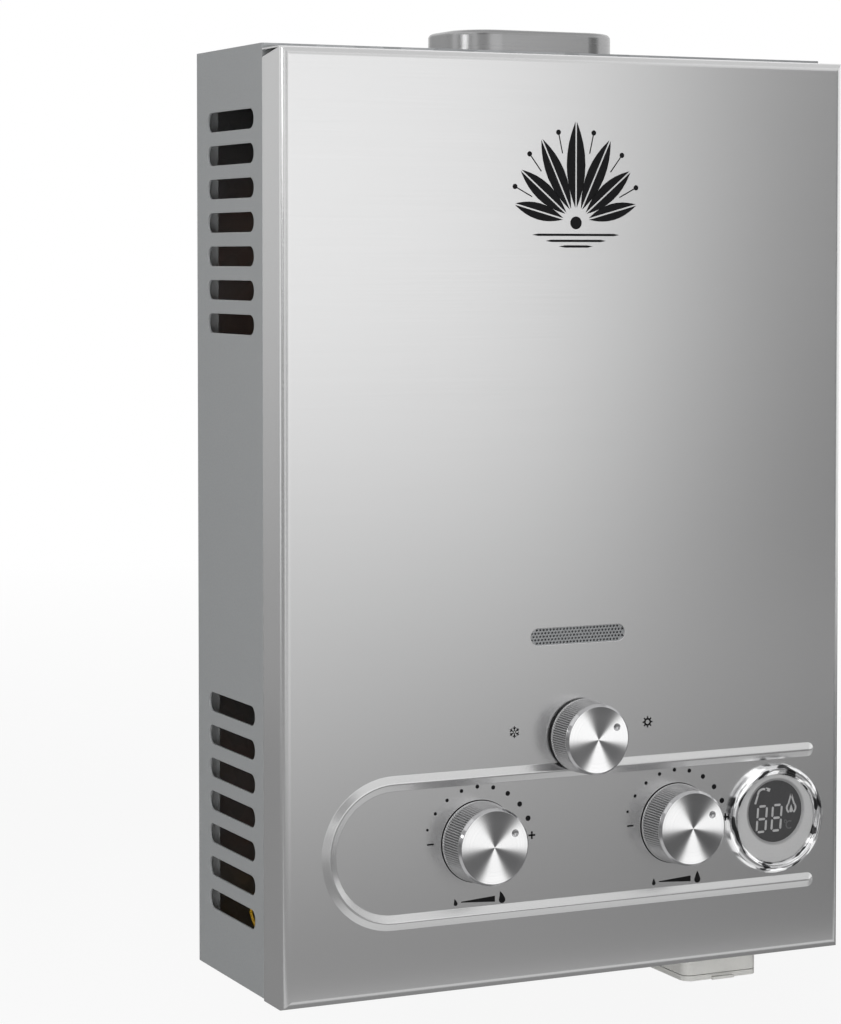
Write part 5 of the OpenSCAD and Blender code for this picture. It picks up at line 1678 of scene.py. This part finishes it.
@dataclass
class Connection:
    """A threaded pipe connection under the case, over its CAD solid.

    Attributes:
        node: CAD node of the fitting.
        major: Outer radius of the thread.
        minor: Core radius of the thread.
        pitch: Rise of the thread in one turn.
        turns: Turns of the thread.
        thread_start: From the end face up to the thread.
        bore: Radius of the bore.
        thread_length: From the end face up to the case.
        flats: Width across the hexagon's flats.
        hexagon: Height of the hexagon.
        spigot: Radius over the hexagon.
        sheet: Thickness of the bottom plate.
    """

    node: str
    major: float = 10.48
    minor: float = 9.35
    pitch: float = 1.814
    turns: int = 6
    thread_start: float = 0.9
    bore: float = 6.5
    thread_length: float = 13.0
    flats: float = 27.0
    hexagon: float = 8.0
    spigot: float = 8.0
    sheet: float = 1.0

    def _core(self, height: float) -> Piece:
        """Turns the core with its bore.

        Args:
            height: Whole height of the fitting.

        Returns:
            The core.
        """
        plate = self.thread_length + self.sheet
        profile = [
            (self.bore + 0.4, 0.0), (self.minor - 0.6, 0.0), (self.minor, 0.6), (self.minor, plate - 1.6),
            (self.major - 0.1, plate - 1.5), (self.major - 0.1, plate + 0.1), (self.spigot, plate + 0.1),
            (self.spigot, height - 0.4), (self.spigot - 0.4, height), (self.bore, height), (self.bore, 0.4),
        ]
        return Bench.turned(f"{self.node}_core", profile, 48, closed=True)

    def _thread(self) -> Piece:
        """Winds the thread's ridge round the core.

        Returns:
            The ridge.
        """
        Bench.clear()
        base = self.thread_start * MM
        start = (self.minor * MM, 0, base)
        bpy.ops.mesh.primitive_plane_add(size=MM, location=start, rotation=(math.pi / 2, 0, 0))
        ridge = bpy.context.object
        bpy.ops.object.transform_apply(location=True, rotation=True, scale=True)
        Bench.edit(ridge)
        crest, root = 0.22, 0.78 * self.pitch
        for test, x, spread in (
            (lambda co: co.x > self.minor * MM, self.major - self.minor - 0.5, crest),
            (lambda co: co.x <= self.minor * MM, 0.2, root),
        ):
            Bench.pick(ridge, test)
            bpy.ops.transform.translate(value=(x * MM, 0, 0))
            bpy.ops.transform.resize(value=(1, 1, spread), center_override=(0, 0, base))
        bpy.ops.mesh.select_all(action="SELECT")
        bpy.ops.mesh.delete(type="ONLY_FACE")
        Bench.done()
        Bench.modify(
            ridge, "SCREW", angle=2 * math.pi * self.turns, screw_offset=self.pitch * self.turns * MM,
            steps=40 * self.turns, render_steps=40 * self.turns, use_merge_vertices=True,
        )
        bpy.ops.object.mode_set(mode="EDIT")
        bpy.ops.mesh.select_all(action="DESELECT")
        bpy.ops.mesh.select_mode(type="EDGE")
        bpy.ops.mesh.select_non_manifold()
        bpy.ops.mesh.edge_face_add()
        Bench.outward()
        Bench.done()
        return ridge

    def _hexagon(self) -> Piece:
        """Makes the hexagon that sits on the bottom plate.

        Returns:
            The hexagon.
        """
        across = self.flats / math.sqrt(3.0)
        low = self.thread_length + self.sheet
        high = low + self.hexagon
        profile = [
            (self.spigot + 0.2, low), (across - 0.8, low), (across, low + 0.7),
            (across, high - 0.7), (across - 0.8, high), (self.spigot + 0.2, high),
        ]
        return Bench.turned(f"{self.node}_hexagon", profile, 6, closed=True)

    def build(self) -> None:
        """Makes the fitting."""
        low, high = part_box(self.node)
        pieces = [self._core((high.z - low.z) / MM), self._thread(), self._hexagon()]
        piece = Bench.join(f"{self.node}_threaded", pieces)
        Bench.settle(piece, (middle(self.node).x, middle(self.node).y, low.z), Facing.UP, 28.0)
        piece.data.materials.append(FINISHES["brass"].material())
        keep(piece, "case", "brass", self.node)


class Dressing:
    """Materials of the CAD nodes that stay.

    Attributes:
        rounded: Nodes that are shown rounder.
        weld_gap: Gap within which their points are merged, in metres.
        own: Finishes of nodes that don't take their slot's.
        round_axes: Node in the centre, and axis, of finishes that go round one, by slot.
    """

    rounded: tuple[str, ...] = ("electrode_leads", "power_leads")
    weld_gap: float = 1e-5
    own: dict[str, Finish] = {"flue_collar": COLLAR}
    round_axes: dict[str, tuple[str, Triple]] = {"fascia": ("display_window", FORE_AFT)}

    def build(self) -> None:
        """Gives each node the finish of its slot and rounds the leads."""
        for row in frame["record"]["subparts"]:
            node, slot = row["node"], row["material_slot"]
            piece = frame["nodes"][node]
            finish = self.own.get(node, FINISHES[slot])
            centre_node, axis = self.round_axes.get(slot, (None, UPRIGHT))
            made = finish.material(tuple(middle(centre_node)), axis) if centre_node else finish.material()
            piece.data.materials.clear()
            piece.data.materials.append(made)
            if node in self.rounded:
                weld = piece.modifiers.new("weld", "WELD")
                weld.merge_threshold = self.weld_gap
                smooth = piece.modifiers.new("round", "SUBSURF")
                smooth.levels = smooth.render_levels = 1
            LOG.info("%s is %s", node, finish.name)


@dataclass
class Studio:
    """Camera, floor, lamps, cards and surroundings.

    Attributes:
        lens: Focal length in millimetres.
        film_width: Width of the frame in millimetres.
        clip: Nearest and farthest distance that the camera sees, in metres.
        eye: Camera's place, in metres.
        yaw: Camera's turn to the right of +Y, in degrees.
        pitch: Camera's tilt down, in degrees.
        shift: Vertical shift of the frame.
        floor_gap: From the lowest point of the part down to the floor, with room for the open battery lid.
        mirror_gap: From that point down to the sheet that the metal mirrors.
        floor_radius: Radius of the floor's disc.
        floor_fade: Where the floor starts to clear and is gone, as shares of its radius.
        floor_grey: Grey of the floor in the light.
        floor_white: Share of plain white that the camera sees over it.
        floor_tones: Mirrored grey of the floor at the part's foot, close before it and far before it.
        floor_ahead: Y of the close and the far grey.
        floor_side: How much of that grey is lost to the right.
        floor_beside: X where the loss starts and is full.
        foot_band: Y over which the bright band at the foot starts, and over which it ends.
        sweep_place: X and Y of the graded card's middle.
        sweep_size: Width and height of that card.
        sweep_tones: Mirrored grey of the graded card at its left and right ends.
        sweep_across: X of those two greys.
        sweep_low: Share of that grey at the card's foot.
        sweep_up: Z where that share is lowest and full.
        sweep_crown: Grey of the card's top, which only the bead and the knobs mirror.
        crown_up: Z over which that grey takes over.
        flank_up: Z of the low and the high grey of the cards beside the part.
        fill: Strength of the surroundings as light.
    """

    lens: float = 103.036
    film_width: float = 36.0
    clip: Pair = (0.01, 100.0)
    eye: Triple = (-0.64783, -1.31215, 0.12058)
    yaw: float = 25.202
    pitch: float = 2.3
    shift: float = -0.1334
    floor_gap: float = 85 * MM
    mirror_gap: float = 0.5 * MM
    floor_radius: float = 3.0
    floor_fade: Pair = (0.3, 0.95)
    floor_grey: float = 0.82
    floor_white: float = 0.86
    floor_tones: Triple = (0.66, 0.273, 0.675)
    floor_ahead: Pair = (-0.2, -1.2)
    floor_side: float = 0.64
    floor_beside: Pair = (-0.1, 0.8)
    foot_band: tuple[Pair, Pair] = ((-0.185, -0.15), (-0.116, -0.124))
    sweep_place: Pair = (1.0, -1.3)
    sweep_size: Pair = (2.5, 1.5)
    sweep_tones: Pair = (1.088, 0.221)
    sweep_across: Pair = (0.603, 0.836)
    sweep_low: float = 0.49
    sweep_up: Pair = (-0.319, 0.108)
    sweep_crown: float = 0.74
    crown_up: Pair = (0.42, 0.7)
    flank_up: Pair = (-0.35, 0.35)
    fill: float = 0.55

    def camera(self) -> None:
        """Sets the camera at the photograph's viewing angle."""
        data = bpy.data.cameras.new("camera")
        data.lens, data.sensor_width, data.shift_y = self.lens, self.film_width, self.shift
        data.clip_start, data.clip_end = self.clip
        eye = bpy.data.objects.new("camera", data)
        bpy.context.scene.collection.objects.link(eye)
        yaw, pitch = math.radians(self.yaw), math.radians(self.pitch)
        ahead = Vector((math.sin(yaw) * math.cos(pitch), math.cos(yaw) * math.cos(pitch), -math.sin(pitch)))
        eye.location = self.eye
        eye.rotation_euler = ahead.to_track_quat("-Z", "Y").to_euler()
        bpy.context.scene.camera = eye

    def surroundings(self) -> None:
        """Lights the world softly and shows it white to the camera and in reflections."""
        world = bpy.data.worlds.new("studio")
        bpy.context.scene.world = world
        world.use_nodes = True
        wiring = Wiring(world.node_tree)
        world.node_tree.nodes.clear()
        path = wiring.node("ShaderNodeLightPath")
        seen = wiring.math("MAXIMUM", path.outputs["Is Camera Ray"], path.outputs["Is Glossy Ray"])
        seen = wiring.math("MAXIMUM", seen, path.outputs["Is Transmission Ray"])
        soft, white = wiring.node("ShaderNodeBackground"), wiring.node("ShaderNodeBackground")
        for light, strength in ((soft, self.fill), (white, 1.0)):
            light.inputs["Color"].default_value = WHITE
            light.inputs["Strength"].default_value = strength
        wiring.end(wiring.mix_shaders(seen, soft, white), "World")

    @staticmethod
    def _blank(piece: Piece, name: str) -> Wiring:
        """Names a sheet or card and gives it an empty material.

        Args:
            piece: Sheet or card.
            name: Name of the piece and its material.

        Returns:
            The wiring of the material.
        """
        piece.name = name
        made = bpy.data.materials.new(name)
        made.use_nodes = True
        made.node_tree.nodes.clear()
        piece.data.materials.append(made)
        return Wiring(made.node_tree)

    def _sheet(self, name: str, gap: float) -> tuple[Piece, Wiring]:
        """Lays a round sheet under the part, with an empty material.

        Args:
            name: Name of the sheet and its material.
            gap: From the lowest point of the part down to the sheet.

        Returns:
            The sheet, and the wiring of its material.
        """
        Bench.clear()
        place = (0, 0, CAD_BOX[0].z - gap)
        bpy.ops.mesh.primitive_circle_add(
            vertices=96, radius=self.floor_radius, fill_type="NGON", location=place
        )
        sheet = bpy.context.object
        wiring = self._blank(sheet, name)
        return sheet, wiring

    @staticmethod
    def _only_mirrored(sheet: Piece) -> None:
        """Hides a sheet from all but reflections.

        Args:
            sheet: Sheet or card to hide.
        """
        sheet.visible_camera = False
        sheet.visible_shadow = False
        sheet.visible_diffuse = False

    def _fade(self, wiring: Wiring, shader: Node) -> None:
        """Ends a sheet's material, clear towards its rim and from below.

        Args:
            wiring: Wiring of the material.
            shader: Shader of the sheet.
        """
        start, end = (share * self.floor_radius for share in self.floor_fade)
        gone = wiring.spread(wiring.length(wiring.spot()), start, end)
        below = wiring.node("ShaderNodeNewGeometry").outputs["Backfacing"]
        clear = wiring.node("ShaderNodeBsdfTransparent")
        wiring.end(wiring.mix_shaders(wiring.math("MAXIMUM", gone, below), shader, clear))

    def floor(self) -> None:
        """Lays a pale round floor that fades into the background."""
        sheet, wiring = self._sheet("floor", self.floor_gap)
        path = wiring.node("ShaderNodeLightPath")
        plain, white = wiring.node("ShaderNodeBsdfDiffuse"), wiring.node("ShaderNodeEmission")
        plain.inputs["Color"].default_value = (*(self.floor_grey,) * 3, 1.0)
        white.inputs["Color"].default_value = WHITE
        white.inputs["Strength"].default_value = 1.0
        seen = wiring.math("MAXIMUM", path.outputs["Is Camera Ray"], path.outputs["Is Transmission Ray"])
        share = wiring.math("MULTIPLY", seen, self.floor_white)
        self._fade(wiring, wiring.mix_shaders(share, plain, white))
        sheet.visible_glossy = False

    def mirrored_floor(self) -> None:
        """Lays the graded sheet that the metal mirrors, out of the camera's sight."""
        sheet, wiring = self._sheet("mirrored floor", self.mirror_gap)
        x, y, _ = wiring.split(wiring.spot())
        foot, close, far = self.floor_tones
        ahead = wiring.ease(y, self.floor_ahead, (close, far))
        beside = wiring.ease(x, self.floor_beside, (1.0, 1.0 - self.floor_side))
        tone = wiring.math("MULTIPLY", ahead, beside)
        near = wiring.math("MULTIPLY", *(wiring.ease(y, stops) for stops in self.foot_band))
        grey = wiring.node("ShaderNodeEmission")
        wiring.feed(grey.inputs["Color"], wiring.blend(near, wiring.grey(tone), (foot,) * 3))
        self._fade(wiring, grey)
        self._only_mirrored(sheet)

    def lamp(self, name: str, place: Triple, aim: Triple, size: Pair, watts: float) -> None:
        """Hangs a soft box that lights without showing in the metal.

        Args:
            name: Name of the lamp.
            place: Its place, in metres.
            aim: Point that it faces.
            size: Width and height.
            watts: Its power.
        """
        data = bpy.data.lights.new(name, "AREA")
        data.shape, data.size, data.size_y, data.energy = "RECTANGLE", size[0], size[1], watts
        lamp = bpy.data.objects.new(name, data)
        bpy.context.scene.collection.objects.link(lamp)
        lamp.location = place
        lamp.rotation_euler = (Vector(aim) - Vector(place)).to_track_quat("-Z", "Y").to_euler()
        lamp.visible_glossy = False

    def card(self, name: str, place: Triple, aim: Triple, size: Pair, tone: float) -> Node:
        """Stands a matt card that the metal mirrors, out of the camera's sight.

        Args:
            name: Name of the card.
            place: Its place, in metres.
            aim: Point that it faces.
            size: Width and height.
            tone: Its grey.

        Returns:
            The node that the card's grey comes from.
        """
        Bench.clear()
        bpy.ops.mesh.primitive_plane_add(size=1.0)
        card = bpy.context.object
        card.scale = (size[0], size[1], 1.0)
        card.location = place
        card.rotation_euler = (Vector(aim) - Vector(place)).to_track_quat("Z", "Y").to_euler()
        bpy.ops.object.transform_apply(location=True, rotation=True, scale=True)
        wiring = self._blank(card, name)
        glow = wiring.node("ShaderNodeEmission")
        glow.inputs["Color"].default_value = (tone, tone, tone, 1.0)
        wiring.end(glow)
        self._only_mirrored(card)
        return glow

    def sweep(self) -> None:
        """Stands the graded card before the front, bright at its upper left."""
        right, ahead = self.sweep_place
        level = CAD_BOX[0].z - self.mirror_gap + self.sweep_size[1] / 2
        glow = self.card("sweep", (right, ahead, level), (right, 0.0, level), self.sweep_size, 1.0)
        wiring = Wiring(glow.id_data)
        x, _, z = wiring.split(wiring.spot())
        across = wiring.ease(x, self.sweep_across, self.sweep_tones)
        up = wiring.ease(z, self.sweep_up, (self.sweep_low, 1.0))
        crown = wiring.ease(z, self.crown_up)
        graded = wiring.grey(wiring.math("MULTIPLY", across, up))
        wiring.feed(glow.inputs["Color"], wiring.blend(crown, graded, (self.sweep_crown,) * 3))

    def flank(self, name: str, place: Triple, size: Pair, tones: Pair) -> None:
        """Stands a card beside the part, lighter towards its top.

        Args:
            name: Name of the card.
            place: Its place, in metres.
            size: Width and height.
            tones: Its greys low down and high up.
        """
        glow = self.card(name, place, (0.0, -0.1, place[2]), size, 1.0)
        wiring = Wiring(glow.id_data)
        _, _, z = wiring.split(wiring.spot())
        wiring.feed(glow.inputs["Color"], wiring.grey(wiring.ease(z, self.flank_up, tones)))

    def build(self) -> None:
        """Sets up the whole studio."""
        bpy.context.scene.view_settings.view_transform = "Standard"
        self.camera()
        self.surroundings()
        self.floor()
        self.mirrored_floor()
        self.lamp("key", (-1.1, -1.5, 1.5), (0, -0.05, 0), (1.2, 1.2), 24.0)
        self.lamp("low fill", (-0.75, -1.6, -0.05), (-0.05, -0.1, -0.2), (1.2, 0.3), 10.5)
        self.sweep()
        self.flank("left card", (-1.6, -0.35, 0.3), (1.3, 1.2), (0.18, 0.5))
        self.flank("rear card", (-1.0, 1.5, 0.4), (1.9, 1.4), (0.36, 0.64))
        self.flank("front card", (-0.85, -1.4, -0.06), (0.9, 0.37), (0.42, 0.46))
        self.card("upper card", (-0.6, -1.5, 0.77), (-0.1, -0.1, 0.0), (1.3, 1.0), 0.3)
        self.card("ceiling", (0.4, -0.3, 1.5), (0.4, -0.3, 0.0), (2.4, 2.0), 0.7)
        self.card("strip", (-1.45, -0.35, 0.36), (0.0, -0.1, 0.22), (0.4, 0.16), 5.0)


def main() -> None:
    """Builds the studio and every piece in order."""
    logging.basicConfig(level=logging.INFO, format="%(message)s")
    Studio().build()
    Dressing().build()
    FrontPrints().build()
    for control in ("gas", "water", "season"):
        Knob(control).build()
    Display().build()
    for node in ("water_inlet_fitting", "gas_inlet_fitting", "water_outlet_fitting"):
        Connection(node).build()


if __name__ == "__main__":
    main()
